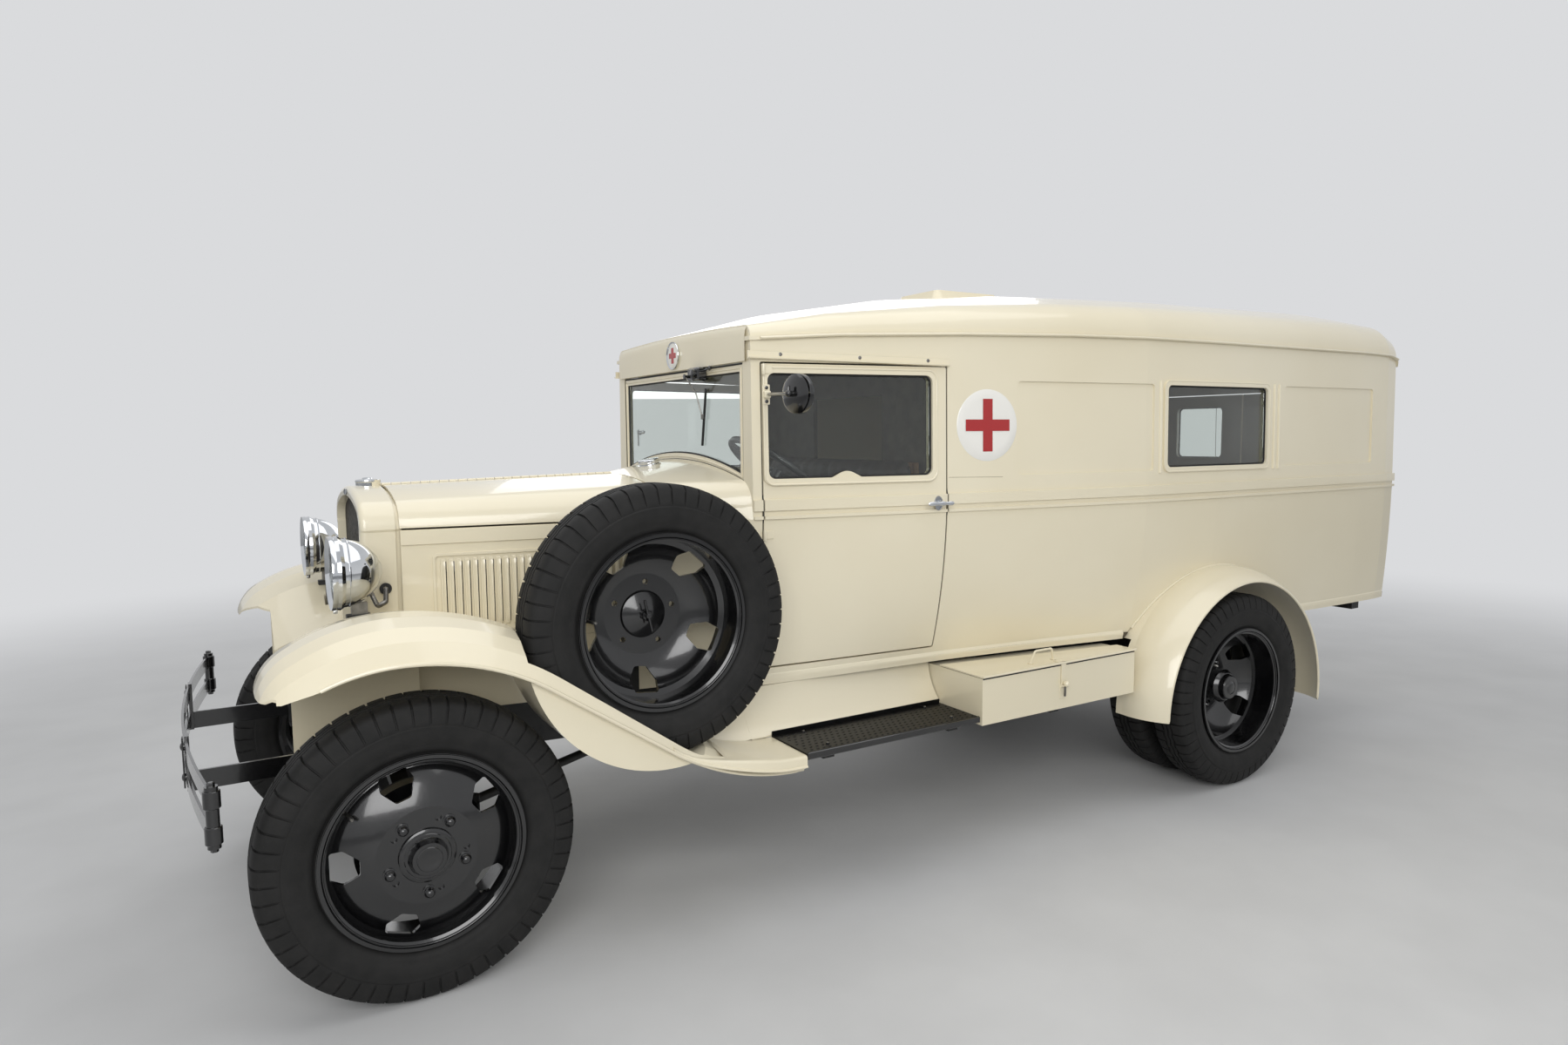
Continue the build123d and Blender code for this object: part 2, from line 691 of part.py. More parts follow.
# The left fender has a well for the spare wheel, round its tread and flat on its sides
WELL_CLEARANCE = 14
CARRIER_Y = (500, 530)
WELL_Y = (SPARE_Y - 92 - WELL_CLEARANCE, SPARE_Y + 92 + WELL_CLEARANCE)


def spare_drum(radius, low_y, high_y):
    """A drum about the spare wheel's centre."""
    with BuildPart() as drum:
        with BuildSketch(Plane.XZ.offset(-low_y)):
            with Locations((SPARE_X, SPARE_Z)):
                Circle(radius)
        extrude(amount=-(high_y - low_y))
    return drum.part


well_radius = TYRE_RADIUS + WELL_CLEARANCE
with BuildPart() as spare_well:
    add(spare_drum(well_radius + SHEET, WELL_Y[0] - SHEET, WELL_Y[1] + SHEET))
    add(spare_drum(well_radius, *WELL_Y), mode=Mode.SUBTRACT)
    add(fender_under, mode=Mode.INTERSECT)
with BuildPart() as front_fender_left:
    add(front_fender_right.part)
    add(spare_drum(well_radius, *WELL_Y), mode=Mode.SUBTRACT)
    add(spare_well.part)
    add(block((SPARE_X - 27, CARRIER_Y[0] - 3, 600), (SPARE_X + 27, CARRIER_Y[1] + 3, 800)), mode=Mode.SUBTRACT)
write(front_fender_left.part, "front_fender_left")
write(mirrored(front_fender_right.part), "front_fender_right")

# Rear fenders: a turned crown outside the body and a closed wheel box inside it
FENDER_LIP_Y = 1020
with BuildPart() as rear_fender_left:
    with BuildSketch(Plane.XY) as crown:
        with BuildLine():
            Polyline((ARCH_RADIUS, 556), (ARCH_RADIUS, 830))
            ThreePointArc((ARCH_RADIUS, 830), (ARCH_RADIUS - 10, 950), (ARCH_RADIUS - 48, FENDER_LIP_Y))
            Polyline((ARCH_RADIUS - 48, FENDER_LIP_Y), (ARCH_RADIUS - 56, FENDER_LIP_Y))
            ThreePointArc(
                (ARCH_RADIUS - 56, FENDER_LIP_Y),
                (ARCH_RADIUS - 17, 948),
                (ARCH_RADIUS - SHEET, 828),
            )
            Polyline((ARCH_RADIUS - SHEET, 828), (ARCH_RADIUS - SHEET, 556 + SHEET))
            Polyline((ARCH_RADIUS - SHEET, 556 + SHEET), (0, 556 + SHEET), (0, 556), (ARCH_RADIUS, 556))
        make_face()
    revolve(axis=Axis.Y, revolution_arc=360)
rear_crown = rear_fender_left.part.moved(Location((REAR_AXLE_X, 0, ARCH_Z)))
with BuildPart() as rear_fender_left:
    add(rear_crown)
    add(block((REAR_AXLE_X, 500, -300), (REAR_AXLE_X + 700, 1100, ARCH_FRONT_LOW_Z)), mode=Mode.SUBTRACT)
    add(block((REAR_AXLE_X - 700, 500, -300), (REAR_AXLE_X + 1, 1100, ARCH_REAR_LOW_Z)), mode=Mode.SUBTRACT)
    add(block((REAR_AXLE_X - 700, 500, -300), (REAR_AXLE_X + 700, 800, SILL_Z - 26)), mode=Mode.SUBTRACT)
write(rear_fender_left.part, "rear_fender_left")
write(mirrored(rear_fender_left.part), "rear_fender_right")

# Running boards and the aprons that sweep down to them
RUBBER_EDGE = 4
BOARD_SHEET = 20
with BuildPart() as board_left:
    add(
        block(
            (BOARD_REAR_X, BOARD_INNER_Y + 22, BOARD_Z - BOARD_SHEET),
            (BOARD_FRONT_X - 14, BOARD_OUTER_Y, BOARD_Z),
        )
    )
    add(
        block(
            (BOARD_REAR_X, BOARD_INNER_Y + 22, BOARD_Z),
            (BOARD_FRONT_X - 14, BOARD_INNER_Y + 22 + RUBBER_EDGE, BOARD_Z + 14),
        )
    )
with BuildPart() as running_boards:
    add(board_left.part)
    add(mirrored(board_left.part))
write(running_boards.part, "running_boards")

APRON_TOP = (598, RAIL_TOP - 1)
APRON_FOOT = (BOARD_INNER_Y + 20, BOARD_Z + 2)
APRON_SHEET = 6
with BuildPart() as apron_left:
    with BuildSketch(Plane.YZ.offset(BOARD_REAR_X - 8)):
        with BuildLine():
            ThreePointArc(APRON_TOP, (618, 590), APRON_FOOT)
            Line(APRON_FOOT, (APRON_FOOT[0], APRON_FOOT[1] - APRON_SHEET))
            ThreePointArc(
                (APRON_FOOT[0], APRON_FOOT[1] - APRON_SHEET),
                (618 - APRON_SHEET, 586),
                (APRON_TOP[0] - APRON_SHEET, APRON_TOP[1]),
            )
            Line((APRON_TOP[0] - APRON_SHEET, APRON_TOP[1]), APRON_TOP)
        make_face()
    extrude(amount=BOARD_FRONT_X - BOARD_REAR_X + 70)
with BuildPart() as splash_aprons:
    add(apron_left.part)
    add(mirrored(apron_left.part))
write(splash_aprons.part, "splash_aprons")

# Toolbox on the left board, its inner side set to the line of the body, and the lid on that side
BOX_INNER = ((BOX_FRONT_X, 668), (BOX_REAR_X, 806))
BOX_LOW_Z = 482
BOX_WALL = 4
LID_SHEET = 5


def box_plan(inset, inner_inset):
    """The toolbox's plan, moved in by the inset, and by another one on its hinge side."""
    (front_x, front_y), (rear_x, rear_y) = BOX_INNER
    with BuildSketch(Plane.XY) as plan:
        with BuildLine():
            Polyline(
                (front_x - inset, front_y + inner_inset),
                (front_x - inset, BOARD_OUTER_Y - inset),
                (rear_x + inset, BOARD_OUTER_Y - inset),
                (rear_x + inset, rear_y + inner_inset),
                close=True,
            )
        make_face()
    return plan.sketch


with BuildPart() as toolbox:
    with BuildSketch(Plane.XY.offset(BOX_LOW_Z)):
        add(box_plan(0, 0))
    extrude(amount=BOX_TOP_Z - BOX_LOW_Z)
    with BuildSketch(Plane.XY.offset(BOX_LOW_Z + BOX_WALL)):
        add(box_plan(BOX_WALL, BOX_WALL))
    extrude(amount=BOX_TOP_Z - BOX_LOW_Z, mode=Mode.SUBTRACT)
write(toolbox.part, "toolbox")
with BuildPart() as toolbox_lid:
    with BuildSketch(Plane.XY.offset(BOX_TOP_Z + 3)):
        add(box_plan(-3, 2))
    extrude(amount=LID_SHEET)
write(toolbox_lid.part, "toolbox_lid")

# Windshield: a flat frame whose lower edge arches over the cowl, and the fixed panes
WINDSHIELD_X = BODY_FRONT_X - 26


def windshield_face(x, inset):
    """The windshield's outline, moved in by the inset."""
    half = WINDSHIELD_HALF - inset
    with BuildSketch(Plane.YZ.offset(x)) as face:
        with BuildLine():
            ThreePointArc(
                (-half, WINDSHIELD_SIDE_Z + inset), (0, WINDSHIELD_ARCH_Z + inset), (half, WINDSHIELD_SIDE_Z + inset)
            )
            Polyline(
                (half, WINDSHIELD_SIDE_Z + inset),
                (half, WINDSHIELD_TOP_Z - inset),
                (-half, WINDSHIELD_TOP_Z - inset),
                (-half, WINDSHIELD_SIDE_Z + inset),
            )
        make_face()
    return face.sketch


with BuildPart() as windshield_frame:
    extrude(windshield_face(WINDSHIELD_X, 0), amount=22)
    extrude(windshield_face(WINDSHIELD_X, 24), amount=22, mode=Mode.SUBTRACT)
write(windshield_frame.part, "windshield_frame")
with BuildPart() as window_glass:
    extrude(windshield_face(WINDSHIELD_X + 8, 24.5), amount=5)
    add(pane(SIDE_WINDOW, 21.5))
    add(mirrored(pane(SIDE_WINDOW, 21.5)))
write(window_glass.part, "window_glass")

# Chassis frame: channel rails that spread behind the hood, cross members, sills and brackets
RAIL_FRONT_X = FRONT_AXLE_X + 250
RAIL_REAR_X = FRONT_AXLE_X - 4720
SPREAD_FRONT_X = FRONT_AXLE_X - 450
SPREAD_REAR_X = FRONT_AXLE_X - 1250
FLANGE = 58
CROSS_MEMBERS = (20, -1330, -2050, -2900, -3700, -4600)
SILLS = ((-1500, 590), (-2250, 640), (-4080, 790), (-4600, 790))
BOARD_BRACKETS = (-1260, -1800)
BOX_BRACKET = -2320
CHANNEL = 7
BRACKET_HALF = 22
BRACKET_HEIGHT = 24


def rail_strip(low_z, high_z, width):
    """One leg of the left rail's channel section: a bent strip in plan, raised between two heights."""
    outer = ((RAIL_FRONT_X, RAIL_FRONT_Y), (SPREAD_FRONT_X, RAIL_FRONT_Y), (SPREAD_REAR_X, RAIL_REAR_Y))
    last = (RAIL_REAR_X, RAIL_REAR_Y)
    inner = [(x, y - width) for x, y in reversed((*outer, last))]
    with BuildPart() as strip:
        with BuildSketch(Plane.XY.offset(low_z)):
            with BuildLine():
                Polyline(*outer, last, *inner, close=True)
            make_face()
        extrude(amount=high_z - low_z)
    return strip.part


def rail_outer_y(ahead):
    """Distance from the middle to the outside of the rail, at a station ahead of the front axle."""
    share = (SPREAD_FRONT_X - FRONT_AXLE_X - ahead) / (SPREAD_FRONT_X - SPREAD_REAR_X)
    return RAIL_FRONT_Y + (RAIL_REAR_Y - RAIL_FRONT_Y) * min(max(share, 0), 1)


def outrigger(ahead, low_z):
    """An arm on the left that goes out from the rail under a board or box, with its foot on the rail."""
    x, y = FRONT_AXLE_X + ahead, rail_outer_y(ahead) - 1
    with BuildPart() as arm:
        add(block((x - BRACKET_HALF, y, low_z), (x + BRACKET_HALF, BOARD_OUTER_Y - 40, low_z + BRACKET_HEIGHT)))
        add(block((x - BRACKET_HALF, y, low_z), (x + BRACKET_HALF, y + BRACKET_HALF, RAIL_BOTTOM + 60)))
    return arm.part


with BuildPart() as rails:
    for low, high, width in (
        (RAIL_BOTTOM, RAIL_TOP, CHANNEL),
        (RAIL_BOTTOM, RAIL_BOTTOM + CHANNEL, FLANGE),
        (RAIL_TOP - CHANNEL, RAIL_TOP, FLANGE),
    ):
        add(rail_strip(low, high, width))
        add(mirrored(rail_strip(low, high, width)))
    for ahead in CROSS_MEMBERS:
        x, y = FRONT_AXLE_X + ahead, rail_outer_y(ahead) - 6
        add(block((x - 40, -y, RAIL_BOTTOM + 62), (x + 40, y, RAIL_TOP - 8)))
    for ahead, reach in SILLS:
        x, y = FRONT_AXLE_X + ahead, rail_outer_y(ahead) - 1
        for side in (1, -1):
            low_y, high_y = sorted((side * y, side * reach))
            add(block((x - 32, low_y, RAIL_TOP - 50), (x + 32, high_y, RAIL_TOP)))
    for ahead in BOARD_BRACKETS:
        add(outrigger(ahead, BOARD_Z - BOARD_SHEET - BRACKET_HEIGHT))
        add(mirrored(outrigger(ahead, BOARD_Z - BOARD_SHEET - BRACKET_HEIGHT)))
    add(outrigger(BOX_BRACKET, BOX_LOW_Z - BRACKET_HEIGHT))
    add(block((FRONT_AXLE_X - 30, -45, 560.5), (FRONT_AXLE_X + 30, 45, RAIL_BOTTOM + 63)))

# Front axle: a dropped beam, the cross spring over it and the radius rods to a ball behind
BEAM_LOW_Z = 345
EYE_Z = 420
with BuildPart() as front_axle:
    with BuildSketch(Plane.YZ.offset(FRONT_AXLE_X)):
        with BuildLine():
            Polyline(
                (0, BEAM_LOW_Z),
                (430, BEAM_LOW_Z),
                (520, EYE_Z - 22),
                (KINGPIN_Y - 20, EYE_Z - 22),
                (KINGPIN_Y - 20, EYE_Z + 22),
                (505, EYE_Z + 22),
                (415, BEAM_LOW_Z + 50),
                (0, BEAM_LOW_Z + 50),
            )
            mirror(about=Plane.YZ)
        make_face()
    extrude(amount=22, both=True)
    with BuildSketch(Plane.YZ.offset(FRONT_AXLE_X + 10)):
        for side in (1, -1):
            with Locations((side * 225, BEAM_LOW_Z + 25)):
                Rectangle(330, 26)
    extrude(amount=20, mode=Mode.SUBTRACT)
    with BuildSketch(Plane.YZ.offset(FRONT_AXLE_X - 30)):
        for side in (1, -1):
            with Locations((side * 225, BEAM_LOW_Z + 25)):
                Rectangle(330, 26)
    extrude(amount=20, mode=Mode.SUBTRACT)
    with Locations(*[(FRONT_AXLE_X, side * KINGPIN_Y, EYE_Z) for side in (1, -1)]):
        Cylinder(25, 76)
        Cylinder(10, 150)
    for side in (1, -1):
        with BuildSketch(Plane.YZ.offset(FRONT_AXLE_X - 25)):
            with BuildLine():
                Polyline((side * 500, 400), (side * 500, 486), (side * 476, 486), (side * 476, 400), close=True)
            make_face()
        extrude(amount=50)
    with BuildSketch(Plane.YZ.offset(FRONT_AXLE_X - 25)):
        with BuildLine():
            ThreePointArc((-490, 468), (0, 560), (490, 468))
            Line((490, 468), (440, 460))
            ThreePointArc((440, 460), (0, 510), (-440, 460))
            Line((-440, 460), (-490, 468))
        make_face()
    extrude(amount=50)
ROD_BALL = Vector(FRONT_AXLE_X - 1150, 0, 448)
GEARBOX_LOW_Z = 520
for side in (1, -1):
    start = Vector(FRONT_AXLE_X - 15, side * 440, 366)
    run = ROD_BALL - start
    with BuildPart() as radius_rod:
        with BuildSketch(Plane(origin=start, z_dir=run)):
            Circle(15)
        extrude(amount=run.length)
    front_axle.part = front_axle.part + radius_rod.part
with BuildPart() as rod_ball:
    with Locations(ROD_BALL):
        Sphere(30)
    add(block((ROD_BALL.X - 35, -25, ROD_BALL.Z), (ROD_BALL.X + 35, 25, GEARBOX_LOW_Z - 0.3)))
front_axle.part = front_axle.part + rod_ball.part
write(front_axle.part, "front_axle")

# Rear axle: turned housing with brake plates, torque tube and a cantilever spring on each side
REAR_PLATE_Y = 596
SPRING_Y = 482
TUBE_FRONT_X = FRONT_AXLE_X - 1246
with BuildPart() as housing:
    with BuildSketch(Plane.XY):
        with BuildLine():
            Polyline((0, 0), (148, 0))
            ThreePointArc((148, 0), (132, 75), (86, 118))
            Polyline(
                (86, 118),
                (50, 250),
                (46, REAR_PLATE_Y - 10),
                (176, REAR_PLATE_Y - 10),
                (176, REAR_PLATE_Y),
                (0, REAR_PLATE_Y),
            )
            Line((0, REAR_PLATE_Y), (0, 0))
        make_face()
    revolve(axis=Axis.Y)
    mirror(about=Plane.XZ)
with BuildPart() as rear_axle:
    with Locations((REAR_AXLE_X, 0, EYE_Z)):
        add(housing.part)
    tube_start = Vector(REAR_AXLE_X + 100, 0, EYE_Z + 5)
    tube_run = Vector(TUBE_FRONT_X, 0, 552) - tube_start
    with BuildSketch(Plane(origin=tube_start, z_dir=tube_run)):
        Circle(62)
    extrude(amount=150, taper=8)
    with BuildSketch(Plane(origin=tube_start, z_dir=tube_run)):
        Circle(36)
    extrude(amount=tube_run.length)

SPRING_FRONT_X = REAR_AXLE_X + 1120
SPRING_MID_X = REAR_AXLE_X + 560
with BuildPart() as rear_springs:
    for side in (1, -1):
        with BuildSketch(Plane.XZ.offset(-side * SPRING_Y)):
            with BuildLine():
                ThreePointArc((SPRING_FRONT_X, 498), (SPRING_MID_X, 560), (REAR_AXLE_X - 40, 492))
                Line((REAR_AXLE_X - 40, 492), (REAR_AXLE_X - 40, 480))
                Polyline(
                    (REAR_AXLE_X - 40, 480),
                    (REAR_AXLE_X + 60, 480),
                    (SPRING_MID_X - 120, 482),
                    (SPRING_MID_X + 120, 482),
                    (SPRING_FRONT_X - 60, 484),
                    (SPRING_FRONT_X, 486),
                    (SPRING_FRONT_X, 498),
                )
            make_face()
        extrude(amount=28, both=True)
        with Locations((REAR_AXLE_X, side * SPRING_Y, 471)):
            Box(90, 56, 24)
        with Locations((SPRING_FRONT_X - 16, side * SPRING_Y, 520)):
            Box(32, 56, 50)
        low_y, high_y = sorted((side * (RAIL_REAR_Y + 0.2), side * (SPRING_Y + 28)))
        add(block((SPRING_MID_X - 60, low_y, 552), (SPRING_MID_X + 60, high_y, 600)))
        add(block((SPRING_FRONT_X - 34, low_y, 540), (SPRING_FRONT_X + 2, high_y, 600)))
with BuildPart() as sprung_axle:
    add(rear_axle.part)
    add(rear_springs.part)
write(sprung_axle.part, "rear_axle")

# Engine and gearbox, plain masses at their real place and size
ENGINE_FRONT_X = FRONT_AXLE_X - 190
GEARBOX_REAR_X = FRONT_AXLE_X - 1238
with BuildPart() as engine_block:
    add(block((FRONT_AXLE_X - 740, -120, 560), (ENGINE_FRONT_X, 120, 1010)))
    add(block((FRONT_AXLE_X - 730, -150, 500), (ENGINE_FRONT_X - 20, 150, 640)))
    add(block((FRONT_AXLE_X - 700, -95, 1010), (ENGINE_FRONT_X - 30, 95, 1065)))
    with Locations(Location((FRONT_AXLE_X - 790, 0, 660), (0, 90, 0))):
        Cylinder(195, 120)
    add(block((FRONT_AXLE_X - 1180, -110, 560), (FRONT_AXLE_X - 850, 110, 668)))
    add(block((GEARBOX_REAR_X, -70, GEARBOX_LOW_Z), (FRONT_AXLE_X - 1160, 70, 640)))
    with Locations(Location((FRONT_AXLE_X - 165, 0, 880), (0, 90, 0))):
        Cylinder(34, 66)
    with Locations(Location((FRONT_AXLE_X - 130, 0, 880), (0, 90, 0))):
        Cylinder(190, 8)
write(engine_block.part, "engine_block")

# Exhaust on the right: down pipe, silencer and a short tail pipe ahead of the rear axle
EXHAUST_Y = -250
with BuildPart() as exhaust:
    with BuildLine() as pipe_line:
        FilletPolyline(
            (FRONT_AXLE_X - 560, -150.5, 760),
            (FRONT_AXLE_X - 560, -230, 740),
            (FRONT_AXLE_X - 660, EXHAUST_Y, 470),
            (FRONT_AXLE_X - 1700, EXHAUST_Y, 466),
            radius=60,
        )
    with BuildSketch(Plane(origin=pipe_line.line @ 0, z_dir=pipe_line.line % 0)):
        Circle(23)
    sweep()
    with Locations(Location((FRONT_AXLE_X - 1950, EXHAUST_Y, 466), (0, 90, 0))):
        Cylinder(62, 560)
    with Locations(Location((FRONT_AXLE_X - 2360, EXHAUST_Y, 466), (0, 90, 0))):
        Cylinder(20, 420)
write(exhaust.part, "exhaust")

# Front bumper: two bowed spring bars joined in eyes, on one tall flat iron from each rail
BUMPER_END = (FRONT_AXLE_X + 492, 830)
BUMPER_NOSE_X = FRONT_AXLE_X + 560
BUMPER_BARS = (580, 668)
BAR_HEIGHT = 44
with BuildPart() as bumper:
    for low in BUMPER_BARS:
        with BuildSketch(Plane.XY.offset(low)):
            with BuildLine():
                end_x, end_y = BUMPER_END
                ThreePointArc((end_x, -end_y), (BUMPER_NOSE_X, 0), (end_x, end_y))
                Line((end_x, end_y), (end_x - 7, end_y))
                ThreePointArc((end_x - 7, end_y), (BUMPER_NOSE_X - 7, 0), (end_x - 7, -end_y))
                Line((end_x - 7, -end_y), (end_x, -end_y))
            make_face()
        extrude(amount=BAR_HEIGHT)
    for side in (1, -1):
        with Locations((BUMPER_END[0] - 6, side * BUMPER_END[1], 646)):
            Cylinder(15, 152)
        low_y, high_y = sorted((side * 336, side * 346))
        add(block((RAIL_FRONT_X + 1, low_y, 564), (BUMPER_NOSE_X - 20, high_y, 620)))
        low_y, high_y = sorted((side * 314, side * 349))
        add(block((BUMPER_NOSE_X - 24, low_y, 566), (BUMPER_NOSE_X - 13, high_y, 722)))
write(bumper.part, "bumper")

# Headlamps: deep turned bowls with a rim, on posts that come up beside the fenders
with BuildPart() as bowl:
    with BuildSketch(Plane.XY):
        with BuildLine():
            Polyline((0, -8), (92, -8), (96, 0), (106, 0), (108, -12), (101, -22))
            ThreePointArc((101, -22), (86, -72), (46, -116))
            Polyline((46, -116), (20, -128), (0, -128), (0, -8))
        make_face()
    revolve(axis=Axis.Y)
with BuildPart() as headlamps:
    for side in (1, -1):
        with Locations(Location((LAMP_X, side * LAMP_Y, LAMP_Z), (0, 0, -90))):
            add(bowl.part)
write(headlamps.part, "headlamps")

# Lamp posts on the rails, and the conduits that run from the lamps into the radiator shell
with BuildPart() as lamp_post:
    add(block((POST_X - 14, RAIL_FRONT_Y - 20, RAIL_TOP), (POST_X + 14, POST_Y + 12, RAIL_TOP + 8)))
    with Locations((POST_X, POST_Y, (RAIL_TOP + LAMP_Z - 125) / 2)):
        Cylinder(12, LAMP_Z - 125 - RAIL_TOP)
    add(block((POST_X - 20, POST_Y - 10, LAMP_Z - 135), (POST_X + 24, POST_Y + 10, LAMP_Z - 93)))
    with BuildLine() as conduit_line:
        FilletPolyline(
            (LAMP_X - 92, 408, LAMP_Z - 50),
            (LAMP_X - 118, 392, LAMP_Z - 112),
            (FRONT_AXLE_X + 10, 345, LAMP_Z - 108),
            (FRONT_AXLE_X + 2, HOOD_FRONT_Y + 0.5, LAMP_Z - 76),
            radius=18,
        )
    with BuildSketch(Plane(origin=conduit_line.line @ 0, z_dir=conduit_line.line % 0)):
        Circle(6)
    sweep()
    add(headlamps.part, mode=Mode.SUBTRACT)
with BuildPart() as lamp_posts:
    add(lamp_post.part)
    add(mirrored(lamp_post.part))
write(lamp_posts.part, "lamp_posts")

# Wheels and tyres, each turned about its own axle with the outside towards +Y
SEAT = RIM_RADIUS
HUB_HOLE = 76
HAND_HOLES = 5
BOLT_HOLE = 9
with BuildPart() as tyre:
    with BuildSketch(Plane.XY):
        with BuildLine():
            Polyline((SEAT + 0.3, -60), (SEAT + 0.3, 60), (276, 66))
            ThreePointArc((276, 66), (336, TYRE_WIDTH / 2), (400, 76))
            Polyline((400, 76), (414, 66), (TYRE_RADIUS, 40), (TYRE_RADIUS, -40), (414, -66), (400, -76))
            ThreePointArc((400, -76), (336, -TYRE_WIDTH / 2), (276, -66))
            Line((276, -66), (SEAT + 0.3, -60))
        make_face()
    revolve(axis=Axis.Y)

HAND_HOLE_POINTS = ((236, -38), (236, 38), (205, 46), (166, 20), (166, -20), (205, -46))
with BuildSketch() as hand_hole:
    with BuildLine():
        Polyline(*HAND_HOLE_POINTS, close=True)
    make_face()
    fillet(hand_hole.vertices(), 10)


def disc_wheel(bulge):
    """Rim and disc; the bolting face stands out from the middle of the tyre by the bulge."""
    way = 1 if bulge > 0 else -1
    face = abs(bulge)
    half = RIM_WIDTH / 2
    with BuildPart() as wheel:
        with BuildSketch(Plane.XY):
            with BuildLine():
                Polyline(
                    (FLANGE_RADIUS, -half),
                    (FLANGE_RADIUS, 5 - half),
                    (SEAT, 11 - half),
                    (SEAT, half - 11),
                    (FLANGE_RADIUS, half - 5),
                    (FLANGE_RADIUS, half),
                    (FLANGE_RADIUS - 10, half),
                    (SEAT - 6, half - 9),
                    (SEAT - 6, 9 - half),
                    (FLANGE_RADIUS - 10, -half),
                    close=True,
                )
            make_face()
            with BuildLine():
                Polyline((HUB_HOLE, way * (face - 7)), (HUB_HOLE, way * face), (132, way * face))
                ThreePointArc((132, way * face), (190, way * (face - 22)), (234, way * 40))
                Polyline((234, way * 40), (SEAT - 5, way * 34), (SEAT - 5, way * 22), (230, way * 29))
                ThreePointArc((230, way * 29), (187, way * (face - 31)), (129, way * (face - 7)))
                Line((129, way * (face - 7)), (HUB_HOLE, way * (face - 7)))
            make_face()
        revolve(axis=Axis.Y)
        with BuildSketch(Plane.XZ.offset(-130)):
            with PolarLocations(0, HAND_HOLES):
                add(hand_hole.sketch)
        extrude(amount=260, mode=Mode.SUBTRACT)
        with BuildSketch(Plane.XZ.offset(-130)):
            with PolarLocations(BOLT_CIRCLE / 2, 5, start_angle=36):
                Circle(BOLT_HOLE)
        extrude(amount=260, mode=Mode.SUBTRACT)
    return wheel.part


front_disc = disc_wheel(FRONT_BULGE)
twin_disc = disc_wheel(DISC_OFFSET)
dished_disc = disc_wheel(-DISC_OFFSET)

DRUM_RADIUS = 172
SPINDLE_RADIUS = 18
with BuildPart() as front_wheel:
    add(front_disc)
    with BuildSketch(Plane.XY):
        with BuildLine():
            Polyline(
                (SPINDLE_RADIUS + 3, -52),
                (48, -52),
                (48, -22),
                (DRUM_RADIUS - 8, -22),
                (DRUM_RADIUS - 8, -56),
                (DRUM_RADIUS, -56),
                (DRUM_RADIUS, -12),
                (60, -12),
                (60, FRONT_BULGE - 17),
                (126, FRONT_BULGE - 17),
                (126, FRONT_BULGE - 6.9),
                (HUB_HOLE - 4, FRONT_BULGE - 6.9),
                (HUB_HOLE - 4, FRONT_BULGE + 4),
                (46, FRONT_BULGE + 10),
                (44, FRONT_BULGE + 28),
                (0, FRONT_BULGE + 34),
                (0, 60),
                (SPINDLE_RADIUS + 3, 60),
                close=True,
            )
        make_face()
    revolve(axis=Axis.Y)
for side, name in ((1, "left"), (-1, "right")):
    turn = Location((FRONT_AXLE_X, side * FRONT_TYRE_Y, TYRE_RADIUS), (0, 0, 0 if side > 0 else 180))
    write(front_wheel.part.moved(turn), f"front_wheel_{name}")
    write(tyre.part.moved(turn), f"front_tyre_{name}")

REAR_DRUM_RADIUS = 186
inner_y = REAR_DISC_Y - DISC_OFFSET
outer_y = REAR_DISC_Y + DISC_OFFSET
with BuildPart() as twin_wheels:
    with Locations((0, inner_y, 0)):
        add(twin_disc)
    with Locations((0, outer_y, 0)):
        add(dished_disc)
    with BuildSketch(Plane.XY):
        with BuildLine():
            Polyline(
                (0, REAR_PLATE_Y + 14),
                (60, REAR_PLATE_Y + 14),
                (60, REAR_PLATE_Y + 90),
                (REAR_DRUM_RADIUS - 8, REAR_PLATE_Y + 90),
                (REAR_DRUM_RADIUS - 8, REAR_PLATE_Y + 8),
                (REAR_DRUM_RADIUS, REAR_PLATE_Y + 8),
                (REAR_DRUM_RADIUS, REAR_PLATE_Y + 100),
                (84, REAR_PLATE_Y + 100),
                (84, REAR_DISC_Y - 17),
                (126, REAR_DISC_Y - 17),
                (126, REAR_DISC_Y - 6.9),
                (HUB_HOLE - 4, REAR_DISC_Y - 6.9),
                (HUB_HOLE - 4, REAR_DISC_Y + 96),
                (58, REAR_DISC_Y + 110),
                (50, REAR_DISC_Y + 132),
                (0, REAR_DISC_Y + 138),
                close=True,
            )
        make_face()
    revolve(axis=Axis.Y)
with BuildPart() as twin_tyres:
    with Locations((0, inner_y, 0), (0, outer_y, 0)):
        add(tyre.part)
for side, name in ((1, "left"), (-1, "right")):
    turn = Location((REAR_AXLE_X, 0, TYRE_RADIUS), (0, 0, 0 if side > 0 else 180))
    write(twin_wheels.part.moved(turn), f"rear_wheels_{name}")
    write(twin_tyres.part.moved(turn), f"rear_tyres_{name}")

